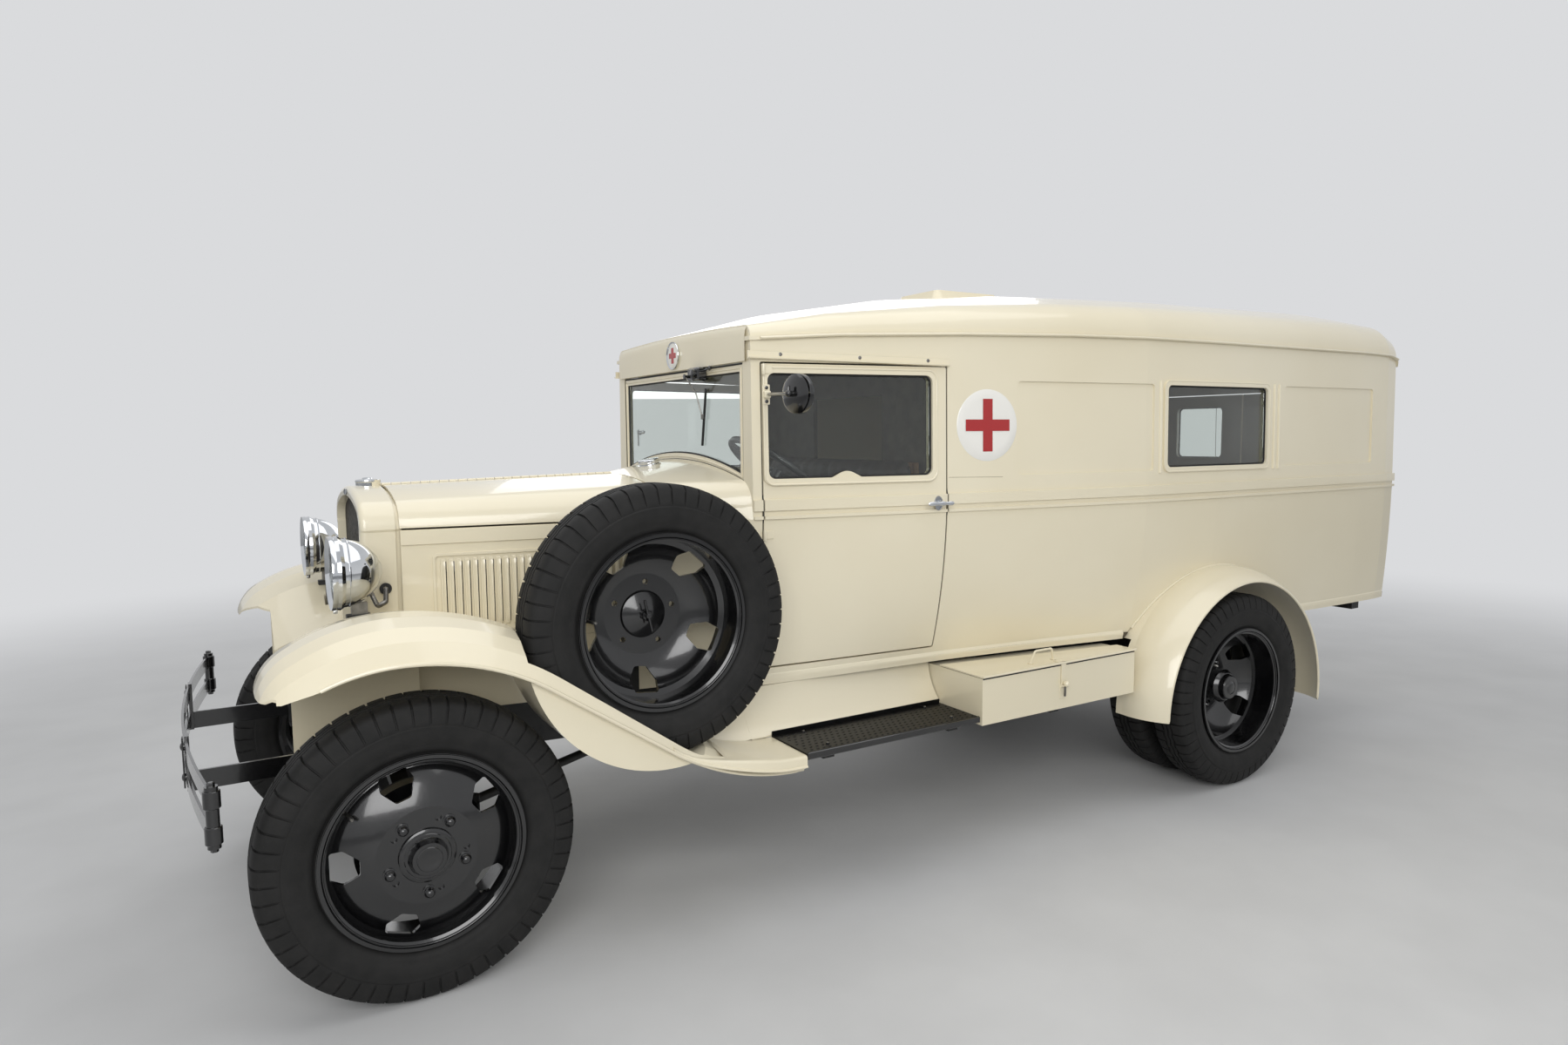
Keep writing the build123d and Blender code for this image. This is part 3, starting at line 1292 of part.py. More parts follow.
# Spare wheel on its carrier: a post from the left rail with a flange inside the dish
SPARE_TURN = 12
with BuildPart() as spare_wheel:
    with Locations(Location((SPARE_X, SPARE_Y, SPARE_Z), (0, SPARE_TURN, 0))):
        add(dished_disc)
write(spare_wheel.part, "spare_wheel")
with BuildPart() as spare_tyre:
    with Locations((SPARE_X, SPARE_Y, SPARE_Z)):
        add(tyre.part)
write(spare_tyre.part, "spare_tyre")
SPARE_FACE_Y = SPARE_Y - DISC_OFFSET
CARRIER_HALF = 24
CARRIER_FOOT_Z = 560
with BuildPart() as chassis_frame:
    add(rails.part)
    with BuildSketch(Plane.XZ.offset(-SPARE_FACE_Y)):
        with Locations((SPARE_X, SPARE_Z)):
            Circle(124)
            with PolarLocations(BOLT_CIRCLE / 2, 5, start_angle=36 - SPARE_TURN):
                Circle(BOLT_HOLE, mode=Mode.SUBTRACT)
            Circle(40, mode=Mode.SUBTRACT)
    extrude(amount=10)
    post_x = (SPARE_X - CARRIER_HALF, SPARE_X + CARRIER_HALF)
    add(block((post_x[0], CARRIER_Y[0], SPARE_Z - 118), (post_x[1], SPARE_FACE_Y - 9, SPARE_Z - 60)))
    add(block((post_x[0], CARRIER_Y[0], CARRIER_FOOT_Z), (post_x[1], CARRIER_Y[1], SPARE_Z - 60)))
    foot_y = rail_outer_y(SPARE_X - FRONT_AXLE_X) - 3
    add(block((post_x[0], foot_y, CARRIER_FOOT_Z), (post_x[1], CARRIER_Y[1], CARRIER_FOOT_Z + 30)))
write(chassis_frame.part, "chassis_frame")

# Steering knuckles: two ears on the kingpin, a web, the brake plate, the spindle and the steering arm
EAR_Z = (362, 478)
with BuildPart() as knuckle_left:
    with Locations(*[(FRONT_AXLE_X, KINGPIN_Y, z) for z in EAR_Z]):
        Cylinder(25, 24)
    for z in EAR_Z:
        add(block((FRONT_AXLE_X - 22, KINGPIN_Y, z - 12), (FRONT_AXLE_X + 22, KINGPIN_Y + 42, z + 12)))
    add(block((FRONT_AXLE_X - 22, KINGPIN_Y + 31, EAR_Z[0]), (FRONT_AXLE_X + 22, KINGPIN_Y + 42, EAR_Z[1])))
    with BuildSketch(Plane.XZ.offset(-(KINGPIN_Y + 34))):
        with Locations((FRONT_AXLE_X, TYRE_RADIUS)):
            Circle(DRUM_RADIUS - 2)
    extrude(amount=-6)
    with BuildSketch(Plane.XZ.offset(-(KINGPIN_Y + 36))):
        with Locations((FRONT_AXLE_X, TYRE_RADIUS)):
            Circle(SPINDLE_RADIUS)
    extrude(amount=-120)
    add(
        block(
            (FRONT_AXLE_X - STEERING_ARM, KINGPIN_Y - 12, EAR_Z[1] - 6),
            (FRONT_AXLE_X, KINGPIN_Y + 12, EAR_Z[1] + 10),
        )
    )
    with Locations((FRONT_AXLE_X - STEERING_ARM, KINGPIN_Y, EAR_Z[1] + 2)):
        Cylinder(17, 16)
    with Locations((FRONT_AXLE_X, KINGPIN_Y, EYE_Z)):
        Cylinder(11, 400, mode=Mode.SUBTRACT)
    with Locations((FRONT_AXLE_X - STEERING_ARM, KINGPIN_Y, EAR_Z[1])):
        Cylinder(8, 100, mode=Mode.SUBTRACT)
write(knuckle_left.part, "knuckle_left")
write(mirrored(knuckle_left.part), "knuckle_right")

with BuildPart() as tie_rod:
    with BuildSketch(Plane.XZ.offset(KINGPIN_Y)):
        with Locations((FRONT_AXLE_X - STEERING_ARM, TIE_ROD_Z)):
            Circle(11)
    extrude(amount=-2 * KINGPIN_Y)
    for side in (1, -1):
        with Locations((FRONT_AXLE_X - STEERING_ARM, side * KINGPIN_Y, TIE_ROD_Z)):
            Cylinder(16, 26)
            Cylinder(7, EAR_Z[1] + 14 - TIE_ROD_Z, align=(Align.CENTER, Align.CENTER, Align.MIN))
write(tie_rod.part, "tie_rod")

# Steering column and wheel, driver on the left
column_run = WHEEL_CENTRE - COLUMN_FOOT
with BuildPart() as steering_column:
    with BuildSketch(Plane(origin=COLUMN_FOOT, z_dir=column_run)):
        Circle(COLUMN_RADIUS)
    extrude(amount=column_run.length - 46)
    with Locations(COLUMN_FOOT):
        Box(110, 60, 90)
write(steering_column.part, "steering_column")
wheel_plane = Plane(origin=WHEEL_CENTRE, z_dir=column_run)
RIM_CENTRE = 208
with BuildPart() as steering_wheel:
    with BuildSketch(Plane(origin=wheel_plane.origin, x_dir=wheel_plane.x_dir, z_dir=wheel_plane.y_dir)):
        with Locations((RIM_CENTRE, 0)):
            Circle(13)
    revolve(axis=Axis(wheel_plane.origin, wheel_plane.z_dir))
    with BuildSketch(wheel_plane.offset(-38)):
        Circle(30)
    extrude(amount=44)
    with BuildSketch(wheel_plane.offset(-8)):
        with PolarLocations(RIM_CENTRE / 2, 3, start_angle=90):
            Rectangle(RIM_CENTRE, 22)
    extrude(amount=9)
write(steering_wheel.part, "steering_wheel")

# Seat across the cab, and the two long benches of the load space
SEAT_REAR_X = PARTITION_X + 20
with BuildPart() as seat:
    add(block((SEAT_REAR_X + 90, -520, 900), (SEAT_REAR_X + 470, 520, 1010)))
    fillet(seat.edges(), 24)
    add(block((SEAT_REAR_X + 10, -520, 960), (SEAT_REAR_X + 100, 520, 1440)))
    add(block((SEAT_REAR_X + 20, -500, SILL_Z), (SEAT_REAR_X + 430, 500, 902)))
write(seat.part, "seat")
with BuildPart() as benches:
    for side in (1, -1):
        low_y, high_y = sorted((side * 300, side * 690))
        add(block((BODY_REAR_X + 140, low_y, 990), (PARTITION_X - 200, high_y, 1060)))
        for x in (BODY_REAR_X + 200, PARTITION_X - 300):
            low_y, high_y = sorted((side * 320, side * 350))
            add(block((x - 20, low_y, SILL_Z), (x + 20, high_y, 990)))
write(benches.part, "benches")

# Round mirror on an arm from a clamp at the front edge of the left door
MIRROR_CENTRE = Vector(FRONT_AXLE_X - 1150, 850, 1672)
with BuildPart() as mirror_left:
    with BuildSketch(Plane(origin=MIRROR_CENTRE, z_dir=(-1, 0.35, 0))):
        Circle(62)
    extrude(amount=-16)
    arm_foot = Vector(DOOR_FRONT_X - GAP - 22, 627, 1678)
    arm_run = MIRROR_CENTRE + Vector(14, 0, 0) - arm_foot
    with BuildSketch(Plane(origin=arm_foot, z_dir=arm_run)):
        Circle(6)
    extrude(amount=arm_run.length)
write(mirror_left.part, "mirror_left")
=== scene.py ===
# %% [markdown]
# # A military ambulance on a light truck chassis
# The shape of this vehicle comes from the construction model: chassis, body, doors, wheels, all at their
# real sizes. This lesson dresses that model. It gives every panel the enamel, rubber, glass or leather of
# the real vehicle, and it makes the small pieces that a construction model leaves out: tyre tread, wheel
# nuts, lamp lenses, handles, beading, the wiper. We start by loading the model, which never moves from here
# on.

# %% Load the construction model
import json
from math import cos, hypot, pi, radians, sin, sqrt, tan, tau
import bpy
from mathutils import Matrix, Vector
from mathutils.bvhtree import BVHTree


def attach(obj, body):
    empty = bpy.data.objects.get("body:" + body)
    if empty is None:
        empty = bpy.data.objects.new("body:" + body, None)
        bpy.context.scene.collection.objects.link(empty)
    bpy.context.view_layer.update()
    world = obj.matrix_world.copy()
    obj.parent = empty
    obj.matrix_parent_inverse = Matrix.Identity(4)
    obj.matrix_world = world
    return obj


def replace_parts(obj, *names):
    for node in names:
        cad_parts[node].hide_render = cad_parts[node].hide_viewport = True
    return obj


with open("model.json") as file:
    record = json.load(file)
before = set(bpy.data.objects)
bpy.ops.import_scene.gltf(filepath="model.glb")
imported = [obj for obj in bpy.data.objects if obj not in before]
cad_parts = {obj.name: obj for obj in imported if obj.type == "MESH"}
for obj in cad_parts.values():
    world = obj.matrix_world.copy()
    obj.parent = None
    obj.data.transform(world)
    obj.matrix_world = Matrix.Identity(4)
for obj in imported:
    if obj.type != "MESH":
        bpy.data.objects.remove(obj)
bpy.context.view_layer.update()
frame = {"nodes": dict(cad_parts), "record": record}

AXLE = 2.1315
REAR_AXLE, HUB_HEIGHT = AXLE - 3.34, 0.42
SIDES = ((1, "left"), (-1, "right"))


def at(x, y, z):
    """A spot by its distance ahead of the front axle, from the middle and above the floor."""
    return Vector((x + AXLE, y, z))


# %% [markdown]
# ## The camera
# The photograph was taken standing beside the front wheel on the left, with a wide lens. The camera's place
# and turn were worked out from wheel centres and body corners, so the picture here lines up with the
# photograph. Blender's camera looks along its own -Z, so its matrix is built from right, up and backwards.

# %% Camera at the photograph's viewpoint
EYE = at(0.4534, 3.4052, 1.5378)
YAW, PITCH, ROLL = radians(31.29), radians(5.206), radians(-0.486)
SENSOR_WIDTH, FOCAL_PIXELS, PHOTO_WIDTH = 36, 1088.35, 1800
ahead = Vector((-sin(YAW) * cos(PITCH), -cos(YAW) * cos(PITCH), -sin(PITCH)))
level_right = ahead.cross(Vector((0, 0, 1))).normalized()
level_up = level_right.cross(ahead)
right = cos(ROLL) * level_right + sin(ROLL) * level_up
up = cos(ROLL) * level_up - sin(ROLL) * level_right
camera_data = bpy.data.cameras.new("museum_lens")
camera_data.sensor_width = SENSOR_WIDTH
camera_data.lens = SENSOR_WIDTH * FOCAL_PIXELS / PHOTO_WIDTH
camera_data.clip_end = 100
camera = bpy.data.objects.new("museum_camera", camera_data)
camera.matrix_world = Matrix.Translation(EYE) @ Matrix((right, up, -ahead)).transposed().to_4x4()
bpy.context.scene.collection.objects.link(camera)
bpy.context.scene.camera = camera
bpy.context.scene.view_settings.view_transform = "Standard"
print("camera", [round(v, 3) for v in EYE], "lens", round(camera_data.lens, 2))

# %% [markdown]
# ## Colour and nodes
# Paint codes are written the way a sign painter's chart gives them, as sRGB hex. Blender mixes light in
# linear values, so one function turns a code to linear. One more function adds a shader node with its
# settings and links.

# %% One function for colours, one for nodes
def tint(code):
    """An sRGB hex code as the linear colour that the shader mixes."""
    parts = [int(code[i:i + 2], 16) / 255 for i in (1, 3, 5)]
    return tuple(c / 12.92 if c <= 0.04045 else ((c + 0.055) / 1.055) ** 2.4 for c in parts) + (1,)


def add_node(tree, kind, inputs=None, **settings):
    """Adds a node with its settings; an input takes a value or another node's output."""
    made = tree.nodes.new(kind)
    for name, value in settings.items():
        setattr(made, name, value)
    for name, value in (inputs or {}).items():
        if isinstance(value, bpy.types.NodeSocket):
            tree.links.new(value, made.inputs[name])
        else:
            made.inputs[name].default_value = value
    return made


def new_finish(name, settings, tones=None, pattern=None, height=0.0, fine_pattern=None):
    """A finish: shader settings, two paint codes run together by a pattern, and a relief so many metres high.

    A pattern is (kind, size in metres, detail); the relief takes the colour's pattern unless it has its own.
    """
    finish = bpy.data.materials.new(name)
    finish.use_nodes = True
    tree = finish.node_tree
    tree.nodes.clear()
    shader = add_node(tree, "ShaderNodeBsdfPrincipled", settings)
    add_node(tree, "ShaderNodeOutputMaterial", {"Surface": shader.outputs["BSDF"]})
    place = add_node(tree, "ShaderNodeTexCoord").outputs["Object"]
    shares = []
    for kind, size, detail, *more in filter(None, (pattern, fine_pattern)):
        inputs = {"Vector": place, "Scale": 1 / size, "Detail": detail, **(more[0] if more else {})}
        made = add_node(tree, f"ShaderNodeTex{kind}", inputs)
        shares.append(made.outputs["Distance" if kind == "Voronoi" else "Fac"])
    if tones:
        first, second, low, high = (*tones, 0.35, 0.65)[:4]
        ramp = add_node(tree, "ShaderNodeValToRGB", {"Fac": shares[0]})
        for stop, position, code in zip(ramp.color_ramp.elements, (low, high), (first, second)):
            stop.position = position
            stop.color = tint(code)
        tree.links.new(ramp.outputs["Color"], shader.inputs["Base Color"])
    if height:
        bump = add_node(tree, "ShaderNodeBump", {"Height": shares[-1], "Distance": height, "Strength": 1.0})
        tree.links.new(bump.outputs["Normal"], shader.inputs["Normal"])
    return finish

# %% [markdown]
# ## Enamel on sheet steel
# The body is hand-beaten steel under many coats of cream coach enamel, rubbed down and polished. The eye
# sees a warm cream, a sharp gloss, a very slight orange peel, and long shallow waves where the sheet was
# beaten. Real orange peel has a grain of about 2 mm; that is too fine to show from four metres, so it is
# drawn at 9 mm. The black enamel of the wheels and bumper is the same paint, without the waves and with a
# few dust specks.

# %% Cream and black enamel
PEEL_GRAIN, BEATEN_WAVE, PEEL_HEIGHT = 0.009, 0.35, 0.00012
cream_enamel = new_finish("cream_coach_enamel", {"Roughness": 0.3, "Coat Weight": 0.7, "Coat Roughness": 0.06},
        ("#E9E0C6", "#E4DABE"), ("Noise", 0.9, 3.0))
tree = cream_enamel.node_tree
place = tree.nodes["Texture Coordinate"].outputs["Object"]
peel, wave = (add_node(tree, "ShaderNodeTexNoise", {"Vector": place, "Scale": 1 / size, "Detail": 1.0})
        for size in (PEEL_GRAIN, BEATEN_WAVE))
relief = add_node(tree, "ShaderNodeMath", {0: wave.outputs["Fac"], 1: 12.0, 2: peel.outputs["Fac"]},
        operation="MULTIPLY_ADD")
bump = add_node(tree, "ShaderNodeBump", {"Height": relief.outputs["Value"], "Distance": PEEL_HEIGHT})
tree.links.new(bump.outputs["Normal"], tree.nodes["Principled BSDF"].inputs["Normal"])

black_enamel = new_finish("black_gloss_enamel", {"Roughness": 0.22, "Coat Weight": 0.8, "Coat Roughness": 0.08},
        ("#070708", "#0D0D0E"), ("Noise", 0.012, 4.0), 0.0002)
chassis_black = new_finish("chassis_black_brushed_on", {"Roughness": 0.5}, ("#141414", "#242423"),
        ("Noise", 0.03, 5.0), 0.0006)
print("enamels:", cream_enamel.name, black_enamel.name, chassis_black.name)

# %% [markdown]
# ## Rubber, chrome and glass
# Tyre rubber is carbon black: nearly black, matt, with grey dust held in fine moulding marks about 3 mm
# apart, drawn at 6 mm. Chrome plate is a bright metal with a faint blue, on polished brass. Window glass is
# plain drawn glass with slow waves in it; against the unlit cabin it looks smoky and dark. A lamp's glass
# is clear.

# %% Rubber, chrome, glass
tyre_rubber = new_finish("tyre_rubber_moulded", {"Roughness": 0.72, "Specular IOR Level": 0.35},
        ("#121211", "#201F1E", 0.3, 0.8), ("Noise", 0.05, 6.0), 0.0005, ("Noise", 0.006, 2.0))
# The boards are diamond plate under black paint, dulled by shoes, so they reflect little of a bright room.
tread_enamel = new_finish("black_enamel_worn", {"Roughness": 0.38, "Specular IOR Level": 0.18},
        ("#050505", "#0F0F0F"), ("Noise", 0.03, 4.0))
trim_rubber = new_finish("black_rubber_extruded", {"Roughness": 0.6}, ("#131313", "#1D1C1B"),
        ("Noise", 0.01, 3.0), 0.0003)
chrome = new_finish("chrome_plate_polished", {"Metallic": 1.0, "Roughness": 0.07}, ("#C9CCD0", "#DADCDE"),
        ("Noise", 0.08, 4.0), 0.0004)
GLASS = {"Transmission Weight": 1.0, "IOR": 1.5}
window_glass = new_finish("drawn_window_glass", {"Roughness": 0.01, "Base Color": tint("#EAEFEC"), **GLASS},
        None, ("Noise", 0.3, 0.0), 0.00005)
lens_glass = new_finish("pressed_lens_glass", {"Roughness": 0.02, "Base Color": tint("#F4F8F6"), **GLASS})
print("rubber, chrome and glass ready")

# %% [markdown]
# ## Finish for each node of the model
# Each carried-over part now gets its finish. Parts that are not seen in the photograph, such as the engine
# and the benches, get what such a vehicle has: cast iron in grey-green, varnished boards, leathercloth.

# %% Inside finishes
cast_iron = new_finish("cast_iron_painted", {"Roughness": 0.6, "Metallic": 0.2}, ("#4A4F45", "#5C6155"),
        ("Noise", 0.008, 5.0), 0.001)
bare_steel = new_finish("steel_drawn", {"Metallic": 1.0, "Roughness": 0.38}, ("#6E6C68", "#8F8D88"),
        ("Noise", 0.03, 6.0), 0.0003)
leathercloth = new_finish("leathercloth_grained", {"Roughness": 0.5}, ("#2A211B", "#40332A"),
        ("Noise", 0.12, 5.0), 0.0008, ("Voronoi", 0.006, 0.0))
varnished_board = new_finish("pine_board_varnished", {"Roughness": 0.35, "Coat Weight": 0.5,
        "Coat Roughness": 0.15}, ("#A77B47", "#8A6033", 0.2, 0.9), ("Wave", 0.125, 3.0,
        {"Distortion": 6.0, "Detail Scale": 0.6}), 0.0004)
varnished_board.node_tree.nodes["Wave Texture"].bands_direction = "Y"
# Partly the plywood's own tone, partly painted shade: the lining is darker than such a lining is, so the inside
# of the body looks unlit through the windows.
lining_darkened_as_shade = new_finish("plywood_lining_with_painted_shade", {"Roughness": 0.55}, ("#4A4336", "#5A5243"),
        ("Noise", 0.05, 5.0), 0.0006)
core_brass = new_finish("radiator_brass_blackened", {"Metallic": 0.6, "Roughness": 0.6},
        ("#151412", "#35302A", 0.1, 0.6), ("Voronoi", 0.012, 0.0), 0.004)
ebonite = new_finish("black_ebonite_moulded", {"Roughness": 0.3, "Coat Weight": 0.3}, ("#121212", "#1B1B1C"),
        ("Noise", 0.02, 3.0), 0.0002)
print("inside finishes ready")

# %% Each node's finish
SLOT_FINISH = {
    "cream_paint": cream_enamel, "dark_paint": chassis_black, "shell_paint": cream_enamel,
    "tyre_rubber": tyre_rubber, "glass": window_glass, "core_metal": core_brass, "cast_iron": cast_iron,
    "steel": bare_steel, "leather": leathercloth, "wood": varnished_board, "lining": lining_darkened_as_shade,
    "black_plastic": ebonite, "gloss_black": black_enamel, "chrome": chrome,
}
NODE_FINISH = {"running_boards": tread_enamel}
node_slot = {row["node"]: row["material_slot"] for row in frame["record"]["subparts"]}
for name, node_object in frame["nodes"].items():
    node_object.data.materials.clear()
    node_object.data.materials.append(NODE_FINISH.get(name) or SLOT_FINISH[node_slot[name]])
USUAL_SLOT = {finish.name: slot for slot, finish in reversed(SLOT_FINISH.items())}
USUAL_SLOT[trim_rubber.name] = "tyre_rubber"
print("finishes given to", len(node_slot), "nodes")

# %% [markdown]
# ## Light, floor and air
# A vehicle this long needs long soft lamps. A big panel overhead gives the highlight along the hood and
# roof, a second one on the left fills the side that the camera sees, and a weak one behind draws the edge
# of the roof. The world is pale grey to the camera and to mirrors, and a little darker as a light. The
# floor fades into that grey from 4 m away, and keeps its shadow near the wheels.

# %% Studio
world = bpy.data.worlds.new("pale_studio_air")
bpy.context.scene.world = world
world.use_nodes = True
tree = world.node_tree
tree.nodes.clear()
rays = add_node(tree, "ShaderNodeLightPath")
seen = rays.outputs["Is Camera Ray"]
for ray in ("Is Glossy Ray", "Is Transmission Ray"):
    seen = add_node(tree, "ShaderNodeMath", {0: seen, 1: rays.outputs[ray]},
            operation="MAXIMUM").outputs["Value"]
light_air = add_node(tree, "ShaderNodeBackground", {"Color": tint("#F4F6FA"), "Strength": 0.47})
seen_air = add_node(tree, "ShaderNodeBackground", {"Color": tint("#DADBDD"), "Strength": 1.0})
mixed = add_node(tree, "ShaderNodeMixShader", {0: seen, 1: light_air.outputs["Background"],
        2: seen_air.outputs["Background"]})
add_node(tree, "ShaderNodeOutputWorld", {"Surface": mixed.outputs["Shader"]})


def lamp_panel(name, place, aim, wide, high, watts):
    """A soft rectangular lamp that points at a spot."""
    data = bpy.data.lights.new(name, "AREA")
    data.shape = "RECTANGLE"
    data.size, data.size_y, data.energy = wide, high, watts
    panel = bpy.data.objects.new(name, data)
    panel.location = place
    panel.rotation_euler = (Vector(aim) - Vector(place)).to_track_quat("-Z", "Y").to_euler()
    bpy.context.scene.collection.objects.link(panel)


lamp_panel("overhead_panel", (0.6, 0.8, 5.2), (0, 0.3, 0.8), 7.5, 4.2, 100)
lamp_panel("side_panel", (3.4, 5.6, 3.4), (0.2, 0.6, 0.9), 4.4, 3.0, 185)
lamp_panel("far_panel", (-2.5, -5.0, 3.6), (-0.3, 0, 1.2), 5.6, 3.6, 80)

floor_finish = new_finish("pale_floor_sealed", {"Roughness": 0.7}, ("#C9C9C8", "#CFCFCE"), ("Noise", 0.5, 4.0))
tree = floor_finish.node_tree
place = tree.nodes["Texture Coordinate"].outputs["Object"]
away = add_node(tree, "ShaderNodeVectorMath", {0: place}, operation="LENGTH")
fade = add_node(tree, "ShaderNodeMapRange", {"Value": away.outputs["Value"], "From Min": 3.6, "From Max": 9.0},
        interpolation_type="SMOOTHSTEP")
rays = add_node(tree, "ShaderNodeLightPath")
share = add_node(tree, "ShaderNodeMath", {0: fade.outputs["Result"], 1: rays.outputs["Is Camera Ray"]},
        operation="MULTIPLY")
backdrop = add_node(tree, "ShaderNodeEmission", {"Color": tint("#DADBDD"), "Strength": 1.0})
blend = add_node(tree, "ShaderNodeMixShader", {0: share.outputs["Value"],
        1: tree.nodes["Principled BSDF"].outputs["BSDF"], 2: backdrop.outputs["Emission"]})
tree.links.new(blend.outputs["Shader"], tree.nodes["Material Output"].inputs["Surface"])
floor_mesh = bpy.data.meshes.new("floor")
floor_mesh.from_pydata([(-40, -40, 0), (40, -40, 0), (40, 40, 0), (-40, 40, 0)], [], [(0, 1, 2, 3)])
floor_mesh.materials.append(floor_finish)
floor_object = bpy.data.objects.new("studio_floor", floor_mesh)
bpy.context.scene.collection.objects.link(floor_object)
print("studio lit")

# %% [markdown]
# ## Making pieces
# Most added pieces are of three kinds: a mesh from points and faces, a turned piece made by spinning a
# profile round an axis, and a moulding made by running a section along a line. One helper makes the piece
# itself, gives it its finish and joins it to its body.

# %% Helpers for pieces
def piece(name, made_mesh, finish=cream_enamel, body="chassis", slot=None, crease=35):
    """A piece from points and faces that rides on a body of the model; its slot, by default its finish's usual
    one, is worked out but not kept.
    """
    points, faces = made_mesh
    mesh = bpy.data.meshes.new(name)
    mesh.from_pydata([tuple(p) for p in points], [], faces)
    mesh.validate()
    mesh.materials.append(finish)
    mesh.shade_smooth()
    mesh.set_sharp_from_angle(angle=radians(crease))
    made = bpy.data.objects.new(name, mesh)
    bpy.context.scene.collection.objects.link(made)
    slot = slot or USUAL_SLOT[finish.name]
    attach(made, body)
    return made


def number_rows(count, wide):
    """The numbers of points that were added row by row."""
    return [list(range(i * wide, (i + 1) * wide)) for i in range(count)]


def band_faces(rows, closed=True):
    """Four-sided faces between neighbouring rows of point numbers, where a number that repeats drops out."""
    faces = []
    for low, high in zip(rows, rows[1:]):
        for k in range(len(low) if closed else len(low) - 1):
            after = (k + 1) % len(low)
            corner = [low[k], low[after], high[after], high[k]]
            faces.append([c for i, c in enumerate(corner) if c not in corner[:i]])
    return faces


def turned_over(faces):
    """Faces that look the other way."""
    return [face[::-1] for face in faces]


def frame_on(axis, near=(0, 0, 1)):
    """Two directions square to an axis, the first as near as it can be to a given one."""
    axis = Vector(axis).normalized()
    first = Vector(near) - axis * axis.dot(Vector(near))
    if first.length < 1e-4:
        first = Vector((1, 0, 0)) - axis * axis.x
    first.normalize()
    return axis, first, axis.cross(first)


def turned_mesh(profile, centre, axis, steps=32, near=(0, 0, 1)):
    """Points and faces of a profile of (along, radius) spun round an axis; radius 0 closes an end."""
    axis, first, second = frame_on(axis, near)
    points, rows = [], []
    for along, radius in profile:
        base = Vector(centre) + axis * along
        if radius == 0:
            rows.append([len(points)] * steps)
            points.append(base)
        else:
            rows.append([len(points) + k for k in range(steps)])
            for k in range(steps):
                turn = tau * k / steps
                points.append(base + radius * (cos(turn) * first + sin(turn) * second))
    return points, band_faces(rows)


def merge(*meshes):
    """Several lists of points and faces as one."""
    points, faces = [], []
    for more_points, more_faces in meshes:
        start = len(points)
        points.extend(more_points)
        faces.extend([[start + c for c in face] for face in more_faces])
    return points, faces


def swept_mesh(path, outs, section, closed=False):
    """Points and faces of a section of (out, across) run along a path; outs is a list, or one for all."""
    points, count, wide = [], len(path), len(section)
    for i, (spot, out) in enumerate(zip(path, outs if isinstance(outs, list) else [outs] * count)):
        before = path[i - 1] if i > 0 or closed else path[i]
        after = path[(i + 1) % count] if i < count - 1 or closed else path[i]
        run = (Vector(after) - Vector(before)).normalized()
        out = (Vector(out) - run * run.dot(Vector(out))).normalized()
        across = run.cross(out)
        points.extend(Vector(spot) + out * a + across * b for a, b in section)
    rows = number_rows(count, wide)
    if closed:
        return points, band_faces(rows + rows[:1])
    return points, band_faces(rows) + [rows[0][::-1], rows[-1]]


def round_section(radius, steps=10):
    """A round section for a rod or bead."""
    return [(radius * cos(tau * k / steps), radius * sin(tau * k / steps)) for k in range(steps)]


# %% [markdown]
# ## Tyres
# The tyres are narrow 6.50-20 ones. Seen close, the tread has two zigzag ribs in the middle, with a wide
# row of blocks on each shoulder; narrow cuts part the blocks and run down over the shoulder to a ridge on
# the sidewall. There are 54 blocks, one each 49 mm. The tyre is one grid of points: rows across it and
# columns round it, where the rows beside a cut sit deeper. This gives clean edges with few faces.

# %% Tyre grid
BLOCKS = 54
CUT_COLUMNS = ((0.0, 1), (0.085, 1), (0.115, 0), (0.38, 0), (0.55, 0), (0.77, 0), (0.97, 0))
# Columns: distance from the middle, radius, zigzag, depth of a cut there; from the middle to the bead, mm
HALF_ROWS = (
    (0, 411, 3, 0), (2.4, 411, 3, 0), (3.4, 419.6, 3, 0), (16.5, 420, 3, 0), (17.6, 411, 3, 0),
    (23.5, 411, 4, 0), (24.6, 420, 4, 7), (40, 419.8, 1.5, 7), (56, 417.6, 0, 7), (67, 413, 0, 6.5),
    (73.5, 406, 0, 6), (77.5, 396, 0, 5.5), (81, 383, 0, 4.5), (84, 369, 0, 3.4), (85.6, 360, 0, 2.4),
    (85.3, 356.6, 0, 0), (85.4, 353.6, 0, 0), (87.4, 351.8, 0, 0), (88.2, 349, 0, 0), (87.6, 346, 0, 0),
    (88.8, 336, 0, 0), (87.8, 321, 0, 0), (84.4, 305, 0, 0), (80.5, 296, 0, 0), (80.3, 293, 0, 0),
    (76.5, 286.5, 0, 0), (71, 279, 0, 0), (66, 275.6, 0, 0), (61, 257, 0, 0), (57, 254.6, 0, 0),
)


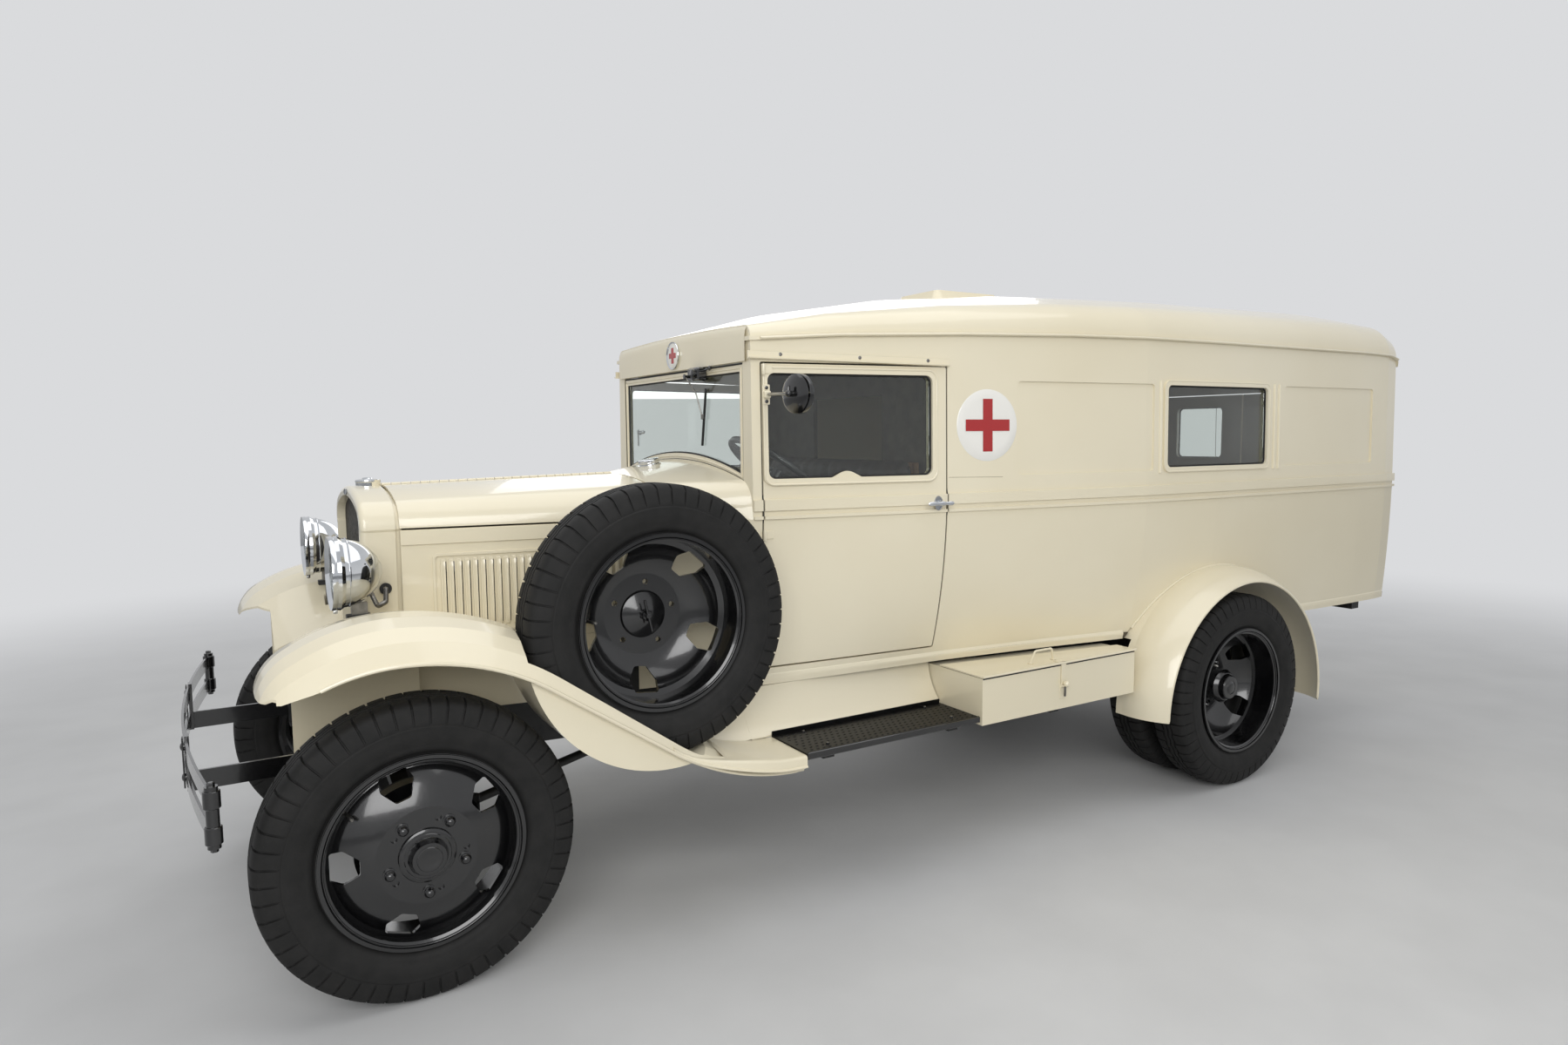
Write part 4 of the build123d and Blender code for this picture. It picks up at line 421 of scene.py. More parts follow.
def tyre_mesh(centre, flip=1):
    """The tyre about its own centre, with its axle along Y; flip turns the tread's lead round."""
    rows = [(y, r, z, d) for y, r, z, d in HALF_ROWS]
    rows = [(-y, r, z, d) for y, r, z, d in reversed(rows[1:])] + rows
    columns = [((block + share) / BLOCKS, cut, share) for block in range(BLOCKS) for share, cut in CUT_COLUMNS]
    points, wide = [], len(rows)
    for turn, cut, share in columns:
        wiggle = 1 - 4 * abs(((share + 0.25) % 1) - 0.5)
        for y, radius, zigzag, depth in rows:
            r = (radius - depth * cut) / 1000
            across = y - (1 if y > 0 else -1) * cut * (depth if radius < 405 else 0) * 0.7
            angle = tau * turn * flip
            points.append((
                centre[0] + r * cos(angle),
                centre[1] + (across + zigzag * wiggle) / 1000,
                centre[2] + r * sin(angle),
            ))
    numbers = number_rows(len(columns), wide)
    faces = band_faces(numbers + numbers[:1])
    return points, faces if flip > 0 else turned_over(faces)


TYRES = (
    ("front_tyre_left", "front_wheel_left", AXLE, 0.7025, HUB_HEIGHT),
    ("front_tyre_right", "front_wheel_right", AXLE, -0.7025, HUB_HEIGHT),
    ("spare_tyre", "chassis", AXLE - 0.705, 0.735, 0.98),
)
for node_name, body, x, y, z in TYRES:
    treaded = piece(f"{node_name}_tread", tyre_mesh((x, y, z), 1 if y > 0 else -1), tyre_rubber, body)
    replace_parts(treaded, node_name)
for side, label in SIDES:
    pair = [tyre_mesh((REAR_AXLE, side * y, HUB_HEIGHT), side) for y in (0.688, 0.912)]
    treaded = piece(f"rear_tyres_{label}_tread", merge(*pair), tyre_rubber, f"rear_wheels_{label}")
    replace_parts(treaded, f"rear_tyres_{label}")
print("tyre faces each:", len(tyre_mesh((0, 0, 0))[1]))

# %% [markdown]
# ## Reading the model's walls
# Many small pieces sit on curved walls. Instead of working out each wall's place by hand, we shoot a ray at
# the model and read where it lands and which way the wall faces there. The piece is then built on that
# spot.

# %% Rays onto the model
def surface_of(*names):
    """A ray tree over some nodes of the model."""
    points, faces = [], []
    for name in names:
        node_object = frame["nodes"][name]
        start = len(points)
        points.extend(node_object.matrix_world @ v.co for v in node_object.data.vertices)
        faces.extend([start + v for v in face.vertices] for face in node_object.data.polygons)
    return BVHTree.FromPolygons(points, faces)


def hit(tree, start, aim):
    """Where a ray lands, and the wall's outward direction there."""
    spot, facing, _, _ = tree.ray_cast(Vector(start), Vector(aim).normalized())
    if spot is None:
        raise ValueError(f"no wall from {tuple(start)}")
    return spot, -facing if facing.dot(Vector(aim)) > 0 else facing


def on_wall(tree, x, z, side):
    """The spot on a side wall, seen square from that side; x is from the front axle."""
    return hit(tree, at(x, 1.4 * side, z), (0, -side, 0))


body_walls = {side: surface_of(f"side_{label}", f"door_{label}", "roof", "rear_wall") for side, label in SIDES}
for station in (-1.5, -2.4, -4.0):
    print("wall at", station, "is", round(on_wall(body_walls[1], station, 1.0, 1)[0].y, 4), "m from the middle")


def circle_path(centre, axis, radius, steps):
    """Points of a circle and their outward directions."""
    _, first, second = frame_on(axis)
    outs = [cos(tau * k / steps) * first + sin(tau * k / steps) * second for k in range(steps)]
    return [Vector(centre) + out * radius for out in outs], outs


def ring_mesh(centre, axis, radius, section, steps=64):
    """A ring with the given section of (out, along the axis)."""
    path, outs = circle_path(centre, axis, radius, steps)
    return swept_mesh(path, outs, section, closed=True)


def rounded_path(corners, radius, step=0.004):
    """A line through corners with round bends, as closely spaced points."""
    corners = [Vector(c) for c in corners]
    line = [corners[0]]
    for before, corner, after in zip(corners, corners[1:], corners[2:]):
        start_way, end_way = (before - corner).normalized(), (after - corner).normalized()
        half = start_way.angle(end_way) / 2
        reach = min(radius / max(tan(half), 1e-3), (before - corner).length * 0.49,
                (after - corner).length * 0.49)
        first, last = corner + start_way * reach, corner + end_way * reach
        for k in range(9):
            t = k / 8
            line.append(first * (1 - t) ** 2 + corner * 2 * t * (1 - t) + last * t ** 2)
    line.append(corners[-1])
    even = [line[0]]
    for low, high in zip(line, line[1:]):
        count = max(1, round((high - low).length / step))
        even.extend(low.lerp(high, (k + 1) / count) for k in range(count))
    return even


def pin_mesh(low, high, radius, steps=10):
    """A plain round pin from one spot to another."""
    way = Vector(high) - Vector(low)
    return turned_mesh(((0, 0), (0, radius), (way.length, radius), (way.length, 0)), low, way, steps)


def hinge_row(low, high, count, gap, radius):
    """The knuckles of a piano hinge in a row between two spots; the gap is a share of one knuckle's length."""
    return [pin_mesh(low.lerp(high, (k + gap) / count), low.lerp(high, (k + 1 - gap) / count), radius)
            for k in range(count)]


def ball_profile(radius, step):
    """A ball's profile for turned_mesh, with a point every so many degrees."""
    return [(radius * sin(radians(t)), max(0.0, radius * cos(radians(t)))) for t in range(-90, 91, step)]


def rod_mesh(corners, radius, bend=0.02, steps=10, near=(0, 0, 1), step=0.02):
    """A round rod along corners with bends."""
    path = rounded_path(corners, bend, step)
    return swept_mesh(path, near, round_section(radius, steps))


def box_mesh(low, high, ease=0.0015):
    """A block with eased edges: two chamfered outlines and flat ends; its two Y values come in any order."""
    (x0, y0, z0), (x1, y1, z1) = low, high
    y0, y1 = sorted((y0, y1))
    e = min(ease, (x1 - x0) / 3, (y1 - y0) / 3, (z1 - z0) / 3)
    points = []
    for z, inset in ((z0, e), (z0 + e, 0), (z1 - e, 0), (z1, e)):
        a, b, c, d = x0 + inset, x1 - inset, y0 + inset, y1 - inset
        points.extend([(a + e, c, z), (b - e, c, z), (b, c + e, z), (b, d - e, z), (b - e, d, z), (a + e, d, z),
                (a, d - e, z), (a, c + e, z)])
    rows = number_rows(4, 8)
    return points, band_faces(rows) + [rows[0][::-1], rows[3]]


def moved_mesh(mesh, matrix):
    """Points and faces moved by a matrix."""
    points, faces = mesh
    return [matrix @ Vector(p) for p in points], faces


def facing_matrix(spot, out, up=(0, 0, 1)):
    """A matrix whose Z is the wall's outward direction and whose Y is as near up as it can be."""
    z = Vector(out).normalized()
    y = (Vector(up) - z * z.dot(Vector(up))).normalized()
    x = y.cross(z)
    return Matrix.Translation(spot) @ Matrix((x, y, z)).transposed().to_4x4()


def grid_mesh(rows, turned):
    """Faces between neighbouring rows of points."""
    faces = band_faces(number_rows(len(rows), len(rows[0])), closed=False)
    return [spot for row in rows for spot in row], turned_over(faces) if turned else faces

# %% [markdown]
# ## Wheels
# Each disc is held by five domed nuts on a circle of 205 mm. The hub cap carries turned rings. A split lock
# ring sits in the rim's outer edge, and a valve stem comes out through a hand hole. The spare has no nuts
# of its own: a round plate and one large nut with a turning bar hold it on its carrier.

# %% Nuts, hub caps, lock rings, valves
NUT_CIRCLE = 0.1025
NUT_PROFILE = ((0, 0.0175), (0.002, 0.0175), (0.003, 0.0145), (0.012, 0.0145), (0.0145, 0.0125),
        (0.019, 0.0105), (0.0225, 0.006), (0.0235, 0))
LOCK_RING = ((0.0045, -0.004), (0.0055, 0.001), (0.003, 0.0045), (-0.002, 0.005), (-0.006, 0.002),
        (-0.005, -0.004))


def wheel_dress(label, body, centre, side, face, turn, nut_count, cap):
    """Nuts, lock ring and valve of one wheel; face is how far the nut seat is out from the tyre's middle."""
    x, y, z = centre
    angles = [radians(turn + 72 * k) for k in range(nut_count)]
    nuts = [turned_mesh(NUT_PROFILE, (x + NUT_CIRCLE * cos(a), y + side * face, z + NUT_CIRCLE * sin(a)),
            (0, side, 0), 12) for a in angles]
    if nuts:
        piece(f"{label}_nuts", merge(*nuts), black_enamel, body)
    ring = ring_mesh((x, y + side * 0.0752, z), (0, side, 0), 0.2655, LOCK_RING, 96)
    bead = ring_mesh((x, y + side * 0.0735, z), (0, side, 0), 0.2555, round_section(0.0022, 6), 96)
    piece(f"{label}_lock_ring", merge(ring, bead), black_enamel, body)
    stem_turn = radians(turn - 18)
    foot, tip = (Vector((x + reach * cos(stem_turn), y + side * out, z + reach * sin(stem_turn)))
            for reach, out in ((0.238, 0.03), (0.222, 0.078)))
    stem = turned_mesh(((0, 0.0045), (0.03, 0.0045), (0.031, 0.006), (0.046, 0.006), (0.05, 0.004), (0.05, 0)),
            foot, tip - foot, 10)
    piece(f"{label}_valve", stem, bare_steel, body)
    if cap:
        piece(f"{label}_hub_cap", turned_mesh(cap, (x, y, z), (0, side, 0), 40), black_enamel, body)


FRONT_CAP = ((0.0935, 0.0735), (0.0955, 0.0735), (0.0965, 0.071), (0.0985, 0.068), (0.0985, 0.062),
        (0.1005, 0.060), (0.1005, 0.053), (0.1035, 0.0505), (0.107, 0.0485), (0.120, 0.0465), (0.1235, 0.0445),
        (0.1245, 0.040), (0.1240, 0.034), (0.1265, 0.032), (0.1270, 0.022), (0.1262, 0.020), (0.1268, 0.010),
        (0.1268, 0))
for side, label in SIDES:
    first_nut = 90 - 54 * side + 18
    wheel_dress(f"front_{label}", f"front_wheel_{label}", (AXLE, side * 0.7025, HUB_HEIGHT), side, 0.090,
            first_nut, 5, FRONT_CAP)
    wheel_dress(f"rear_{label}", f"rear_wheels_{label}", (REAR_AXLE, side * 0.912, HUB_HEIGHT), side, -0.105,
            first_nut, 5, None)
    hub_rings = turned_mesh(((0.0965, 0.074), (0.0985, 0.073), (0.1115, 0.0605), (0.1125, 0.054),
            (0.130, 0.0515), (0.1335, 0.048), (0.1345, 0.030), (0.1365, 0.028), (0.1395, 0.020), (0.1395, 0)),
            (REAR_AXLE, side * 0.8, HUB_HEIGHT), (0, side, 0), 40)
    piece(f"rear_{label}_hub_rings", hub_rings, black_enamel, f"rear_wheels_{label}")
wheel_dress("spare", "chassis", at(-0.705, 0.735, 0.98), 1, -0.105, 24, 0, None)
spare_seat = at(-0.705, 0.630, 0.98)
clamp_plate = turned_mesh(((0.0, 0.0735), (0.006, 0.0735), (0.009, 0.070), (0.012, 0.040), (0.016, 0.034),
        (0.016, 0)), spare_seat, (0, 1, 0), 40)
clamp_nut = turned_mesh(((0.016, 0.019), (0.036, 0.019), (0.039, 0.016), (0.039, 0.009), (0.052, 0.008),
        (0.054, 0)), spare_seat, (0, 1, 0), 6)
bar = rod_mesh([spare_seat + Vector((-0.012, 0.046, -0.050)), spare_seat + Vector((0.012, 0.046, 0.050))],
        0.0045, 0.01, 10, (0, 1, 0), 0.02)
piece("spare_clamp", merge(clamp_plate, clamp_nut, bar), black_enamel)
print("wheels dressed")

# %% [markdown]
# ## Headlamps
# The lamps are deep bowls, chromed all over. The lens is pressed glass with upright flutes, 12 mm apart, in
# front of a silvered reflector; a flat rim with a clamp screw below holds it. Behind it the lamp stands on
# a black base plate, and its wires run in a conduit wound from steel strip: the turns are 5 mm long and
# catch the light.

# %% Lens, rim, seam, base plate and conduit
LAMP = at(0.158, 0.418, 1.155)
silvering = new_finish("reflector_silvered", {"Metallic": 1.0, "Roughness": 0.05,
        "Base Color": tint("#E4E6E8")})


def lens_mesh(centre, radius, bulge, flute):
    """A round lens with upright flutes, thickest in the middle, seen along +X."""
    points, rows = [], []
    rings, steps = 14, 72
    for i in range(rings + 1):
        r = radius * i / rings
        row = []
        for k in range(steps if i else 1):
            y, z = r * cos(tau * k / steps), r * sin(tau * k / steps)
            ahead = bulge * (1 - (r / radius) ** 2) + 0.0012 * cos(tau * y / flute)
            row.append(len(points))
            points.append((centre[0] + ahead, centre[1] + y, centre[2] + z))
        rows.append(row if i else row * steps)
    return points, [face[:1] + face[:0:-1] for face in band_faces(rows)]


for side, label in SIDES:
    centre = Vector((LAMP.x, side * LAMP.y, LAMP.z))
    lens_face = lens_mesh(centre + Vector((-0.002, 0, 0)), 0.093, 0.010, 0.012)
    piece(f"lens_{label}", lens_face, lens_glass, slot="glass")
    cup = turned_mesh(((-0.0075, 0.0), (-0.0075, 0.02), (-0.0070, 0.06), (-0.006, 0.0915)), centre, (1, 0, 0),
            48)
    piece(f"reflector_{label}", cup, silvering, slot="chrome")
    rim = ring_mesh(centre, (1, 0, 0), 0.0985, ((0.0085, -0.012), (0.0095, -0.002), (0.007, 0.004),
            (0.000, 0.0075), (-0.006, 0.004), (-0.0065, -0.001), (-0.003, -0.004)), 72)
    seam = ring_mesh(centre + Vector((-0.035, 0, 0)), (1, 0, 0), 0.0995, round_section(0.0022, 6), 72)
    screw = turned_mesh(((0, 0.004), (0.018, 0.004), (0.018, 0.006), (0.022, 0.006), (0.023, 0)),
            centre + Vector((0.0, -0.009, -0.111)), (0, 1, 0), 10)
    lug = box_mesh((centre.x - 0.006, centre.y - 0.008, centre.z - 0.117),
            (centre.x + 0.006, centre.y + 0.008, centre.z - 0.103))
    piece(f"lamp_rim_{label}", merge(rim, seam, screw, lug), chrome)
    plate = box_mesh(at(0.062, side * 0.405 - 0.017, 1.012), at(0.128, side * 0.405 + 0.017, 1.0285))
    piece(f"lamp_base_{label}", plate, chassis_black)
    strap = box_mesh(at(0.076, side * 0.405 - 0.013, 0.93), at(0.104, side * 0.405 + 0.013, 1.013))
    piece(f"lamp_strap_{label}", strap, bare_steel)
    run = rounded_path([(LAMP.x - 0.092, side * 0.408, LAMP.z - 0.05),
            (LAMP.x - 0.118, side * 0.392, LAMP.z - 0.112), at(0.01, side * 0.345, LAMP.z - 0.108),
            at(0.002, side * 0.3025, LAMP.z - 0.076)], 0.018, 0.0013)
    points, faces = swept_mesh(run, (1, 0, 0), round_section(0.0072, 10))
    for i, spot in enumerate(run):
        wound = 1 + 0.09 * sin(tau * i * 0.0013 / 0.005)
        for k in range(10):
            points[i * 10 + k] = spot + (points[i * 10 + k] - spot) * wound
    piece(f"lamp_conduit_{label}", (points, faces), bare_steel)
    grommet = ring_mesh(at(0.003, side * 0.3035, LAMP.z - 0.074), (0, side, 0), 0.0125,
            ((0.0055, -0.001), (0.005, 0.003), (0, 0.0045), (-0.005, 0.003), (-0.0055, -0.001)), 24)
    piece(f"conduit_grommet_{label}", grommet, trim_rubber)
print("lamps dressed")

# %% [markdown]
# ## Radiator
# A flat chrome cap sits on the shell, just ahead of the hood so that the hood clears it when it opens. On
# the shell's front there is a small blank oval badge of grey enamel.

# %% Cap and badge
cap_spot = at(0.0005, 0, 1.4045)
cap_profile = ((-0.018, 0.0352), (-0.008, 0.0352), (-0.007, 0.0362), (-0.002, 0.0373), (0.0015, 0.036),
        (0.003, 0.028), (0.0045, 0.016), (0.0075, 0.0145), (0.009, 0.010), (0.0095, 0))
piece("radiator_cap", turned_mesh(cap_profile, cap_spot, (0, 0, 1), 48), chrome)
shell_tree = surface_of("radiator_shell")
badge_spot, badge_out = hit(shell_tree, at(0.4, 0, 1.368), (-1, 0, 0))
badge_enamel = new_finish("badge_enamel_grey", {"Roughness": 0.2, "Coat Weight": 0.8,
        "Base Color": tint("#6F767C")})
badge_turn = facing_matrix(badge_spot, badge_out)


def oval_mesh(wide, high, rise, edge, steps=36):
    """A flat oval with a raised, rounded edge, in its own plane."""
    points, faces = [(0, 0, rise)], []
    rows = ((1 - edge, rise), (1 - edge, rise + 0.0016), (1, rise + 0.0016), (1.04, 0.0005))
    for share, lift in rows:
        points.extend((wide * share * cos(tau * k / steps), high * share * sin(tau * k / steps), lift)
                for k in range(steps))
    for k in range(steps):
        after = (k + 1) % steps
        faces.append([0, 1 + k, 1 + after])
        for row in range(3):
            low, high_row = 1 + row * steps, 1 + (row + 1) * steps
            faces.append([low + k, high_row + k, high_row + after, low + after])
    return points, faces


piece("radiator_badge", moved_mesh(oval_mesh(0.030, 0.010, 0.0015, 0.12), badge_turn), badge_enamel,
        slot="shell_paint")
print("radiator dressed")

# %% [markdown]
# ## Hood
# The two hood tops fold on a long piano hinge, so a rod with short knuckles runs along the middle. Each
# side panel has louvres that were pressed out of the sheet: round at the ends, open towards the rear; a thin
# black strip at each open end is painted shade for the dark under the hood. Two turn-handle catches hold
# each side down.

# %% Hinge rod, louvres and catches
HOOD_FRONT_X, HOOD_REAR_X = AXLE - 0.037, AXLE - 0.857
rod_low, rod_high = Vector((HOOD_REAR_X + 0.004, 0, 1.4055)), Vector((HOOD_FRONT_X - 0.004, 0, 1.3885))
piece("hood_hinge_rod", merge(*hinge_row(rod_low, rod_high, 26, 0.04, 0.0055)))

LOUVRES, LOUVRE_PITCH, LOUVRE_TALL, LOUVRE_WIDE, LOUVRE_PROUD = 24, 0.024, 0.222, 0.015, 0.0095
LOUVRE_MIDDLE = AXLE - 0.438


def louvre_mesh():
    """One louvre in its own plane: X to the rear, Y up, Z out; a long blister that is open at its rear edge."""
    points, across, along = [], 7, 15
    for j in range(along + 1):
        t = j / along
        y = LOUVRE_TALL * (t - 0.5)
        end = min(1.0, min(t, 1 - t) * LOUVRE_TALL / 0.012)
        swell = sqrt(max(0.0, 1 - (1 - end) ** 2))
        for i in range(across + 1):
            u = i / across
            x = LOUVRE_WIDE * (-0.5 + u)
            z = LOUVRE_PROUD * swell * sin(min(u * 1.18, 1.0) * pi / 2) + 0.0003
            points.append((x, y, z))
    rows = number_rows(along + 1, across + 1)
    faces, edge = band_faces(rows, closed=False), [row[-1] for row in rows]
    start = len(points)
    points.extend((points[k][0] + 0.0002, points[k][1], 0.0) for k in edge)
    for j in range(along):
        faces.append([edge[j], start + j, start + j + 1, edge[j + 1]])
    return points, faces


for side, label in SIDES:
    panel = surface_of(f"hood_side_{label}")
    low_spot, _ = hit(panel, at(-0.13, side * 1.0, 1.225), (0, -side, 0))
    high_spot, out = hit(panel, at(-0.80, side * 1.0, 1.225), (0, -side, 0))
    run = high_spot - low_spot
    run = Vector((run.x, run.y, 0)).normalized()
    out = side * Vector((run.y, -run.x, 0))
    blisters, shade_slots = [], []
    for k in range(LOUVRES):
        x = LOUVRE_MIDDLE - (k - (LOUVRES - 1) / 2) * LOUVRE_PITCH * 0.9905
        spot = Vector((x, side * (0.302 + 0.114 * (HOOD_FRONT_X - x) / (HOOD_FRONT_X - HOOD_REAR_X)), 1.0515))
        turn = Matrix((run, Vector((0, 0, 1)), out)).transposed().to_4x4()
        blister = moved_mesh(louvre_mesh(), Matrix.Translation(spot) @ turn)
        if side < 0:
            blister = (blister[0], turned_over(blister[1]))
        blisters.append(blister)
        # A thin black strip at each louvre's open end is painted shade for the dark under the hood.
        slot = box_mesh((-0.0016, -0.102, 0.0), (0.0016, 0.102, 0.0012), 0.0003)
        shade_slots.append(moved_mesh(slot, Matrix.Translation(spot + run * 0.0077) @ turn))
    piece(f"louvres_{label}", merge(*blisters), cream_enamel, f"hood_side_{label}", crease=50)
    piece(f"louvre_slot_shade_{label}", merge(*shade_slots), trim_rubber, f"hood_side_{label}")
    catches = []
    for x in (-0.16, -0.74):
        spot, _ = hit(panel, at(x, side * 1.0, 0.915), (0, -side, 0))
        catches.append(turned_mesh(((0, 0.016), (0.003, 0.0155), (0.006, 0.009), (0.014, 0.008), (0.015, 0)),
                spot, out, 18))
        handle = box_mesh((-0.0045, -0.034, 0.013), (0.0045, 0.010, 0.020), 0.002)
        catches.append(moved_mesh(handle, facing_matrix(spot, out)))
    piece(f"hood_catches_{label}", merge(*catches), chrome, f"hood_side_{label}")
print("hood dressed")

# %% [markdown]
# ## Windshield and header
# The pane sits in black rubber, which shows as a dark line round the cream frame. The header is one smooth
# panel whose top edge rolls back into the roof. In its middle sits a round white emblem with a red cross in
# a chrome ring; it carries no letters.

# %% Rubber, header, emblem, filler cap
PANE_X = AXLE - 1.130 - 0.026
HALF, SIDE_Z, ARCH_Z, TOP_Z = 0.530, 1.385, 1.452, 1.785


def windshield_line(inset, steps=24):
    """The windshield's outline moved in by an inset, as points from the lower left round to the start."""
    half, low, mid, top = HALF - inset, SIDE_Z + inset, ARCH_Z + inset, TOP_Z - inset
    radius = (half ** 2 + (mid - low) ** 2) / (2 * (mid - low))
    line = []
    for k in range(steps + 1):
        y = half - 2 * half * k / steps
        line.append((y, mid - radius + sqrt(radius ** 2 - y ** 2)))
    line.extend([(-half, low + (top - low) * k / 6) for k in range(1, 7)])
    line.extend([(-half + 2 * half * k / 12, top) for k in range(1, 13)])
    line.extend([(half, top - (top - low) * k / 6) for k in range(1, 6)])
    return line


def windshield_bead(inset, x, section):
    """A bead round the windshield at a depth."""
    line = windshield_line(inset)
    path = [(x, y, z) for y, z in line]
    return swept_mesh(path, (1, 0, 0), section, closed=True)


gasket = windshield_bead(0.0255, PANE_X + 0.0165, round_section(0.0042, 8))
outer_gasket = windshield_bead(-0.0012, PANE_X + 0.019, ((0.004, -0.0030), (0.005, 0), (0.004, 0.0030),
        (-0.004, 0.003), (-0.004, -0.003)))
piece("windshield_rubber", merge(gasket, outer_gasket), trim_rubber)
frame_bead = windshield_bead(0.0125, PANE_X + 0.0225, round_section(0.0032, 8))
piece("windshield_frame_bead", frame_bead)

HEADER_X, HEADER_HALF = AXLE - 1.1213, 0.566
roof_tree, header_rows = surface_of("roof"), []
for k in range(37):
    y = -HEADER_HALF + 2 * HEADER_HALF * k / 36
    edge_z, back_z = (hit(roof_tree, (HEADER_X - inward, y, 3.0), (0, 0, -1))[0].z for inward in (0.013, 0.036))
    header_rows.append([Vector((HEADER_X + ahead, y, z)) for ahead, z in ((-0.0095, 1.7905), (0, 1.7930),
            (0, 1.84), (-0.0004, edge_z - 0.036), (-0.0025, edge_z - 0.019), (-0.008, edge_z - 0.006),
            (-0.017, edge_z + 0.001), (-0.036, back_z + 0.0004))])
piece("header_panel", grid_mesh(header_rows, True), crease=50)
header_spot = Vector((HEADER_X, 0, 1.852))
emblem_white = new_finish("emblem_white_enamel", {"Roughness": 0.18, "Coat Weight": 0.6,
        "Base Color": tint("#EDEBE4")})
cross_red = new_finish("cross_red_enamel", {"Roughness": 0.25, "Coat Weight": 0.5,
        "Base Color": tint("#A81A1C")})
emblem_turn = facing_matrix(header_spot, (1, 0, 0))
disc = turned_mesh(((0.0, 0.050), (0.004, 0.0495), (0.0055, 0.045), (0.0055, 0)), (0, 0, 0), (0, 0, 1), 48)
piece("emblem_disc", moved_mesh(disc, emblem_turn), emblem_white, slot="shell_paint")
ring = ring_mesh((0, 0, 0.004), (0, 0, 1), 0.049, ((0.004, -0.004), (0.0045, 0), (0.001, 0.004),
        (-0.003, 0.003), (-0.0035, 0.001)), 48)
piece("emblem_ring", moved_mesh(ring, emblem_turn), chrome)
arms = [box_mesh((-0.030, -0.010, 0.0050), (0.030, 0.010, 0.0070), 0.0006),
        box_mesh((-0.010, -0.030, 0.0051), (0.010, 0.030, 0.0071), 0.0006)]
piece("emblem_cross", moved_mesh(merge(*arms), emblem_turn), cross_red, slot="shell_paint")
filler_spot, filler_out = hit(surface_of("cowl"), at(-1.010, 0, 2.0), (0, 0, -1))
filler = turned_mesh(((-0.002, 0.044), (0.004, 0.045), (0.006, 0.039), (0.012, 0.041), (0.021, 0.040),
        (0.024, 0.036), (0.0255, 0)), filler_spot, filler_out, 40)
piece("filler_cap", filler, chrome)
print("windshield and header dressed")

# %% [markdown]
# ## Body mouldings
# A drip moulding runs along the roof seam on both sides. Over each cab door there is a short rain gutter,
# held by three screws. Round the cab windows runs a raised bead, round the two side windows a flat one,
# each with a thin rubber seal inside it. Upright ribs stand beside the side window: one before it and two
# behind.

# %% Drip moulding, gutters, window beads
def wall_line(tree, side, spots, lift=0.0):
    """Points on a side wall with their outward directions, lifted off it; spots are (behind axle x, z)."""
    path, outs = [], []
    for x, z in spots:
        spot, out = on_wall(tree, x, z, side)
        path.append(spot + out * lift)
        outs.append(out)
    return path, outs


def between(low, high, count):
    """Evenly spaced values from one to another."""
    return [low + (high - low) * k / count for k in range(count + 1)]


def seam_height(x):
    """The roof seam's height at a place along the body."""
    rows = ((-1.13, 1.874), (-1.45, 1.896), (-1.95, 1.914), (-2.45, 1.926), (-2.85, 1.930), (-4.45, 1.930),
            (-4.69, 1.926), (-4.785, 1.908), (-4.815, 1.880))
    for (x0, z0), (x1, z1) in zip(rows, rows[1:]):
        if x1 <= x <= x0:
            return z0 + (z1 - z0) * (x - x0) / (x1 - x0)
    return rows[0][1] if x > rows[0][0] else rows[-1][1]


def window_loop(rear, front, low, high, radius, step=0.03):
    """The outline of a window with round corners, as (x, z) spots, once round."""
    spots = []
    corners = ((rear + radius, low + radius, 180), (front - radius, low + radius, 270),
            (front - radius, high - radius, 0), (rear + radius, high - radius, 90))
    for x, z, start in corners:
        for k in range(9):
            angle = radians(start + 90 * k / 8)
            spots.append((x + radius * cos(angle), z + radius * sin(angle)))
    full = []
    for (x0, z0), (x1, z1) in zip(spots, spots[1:] + spots[:1]):
        count = max(1, round(hypot(x1 - x0, z1 - z0) / step))
        full.extend((x0 + (x1 - x0) * k / count, z0 + (z1 - z0) * k / count) for k in range(count))
    return full


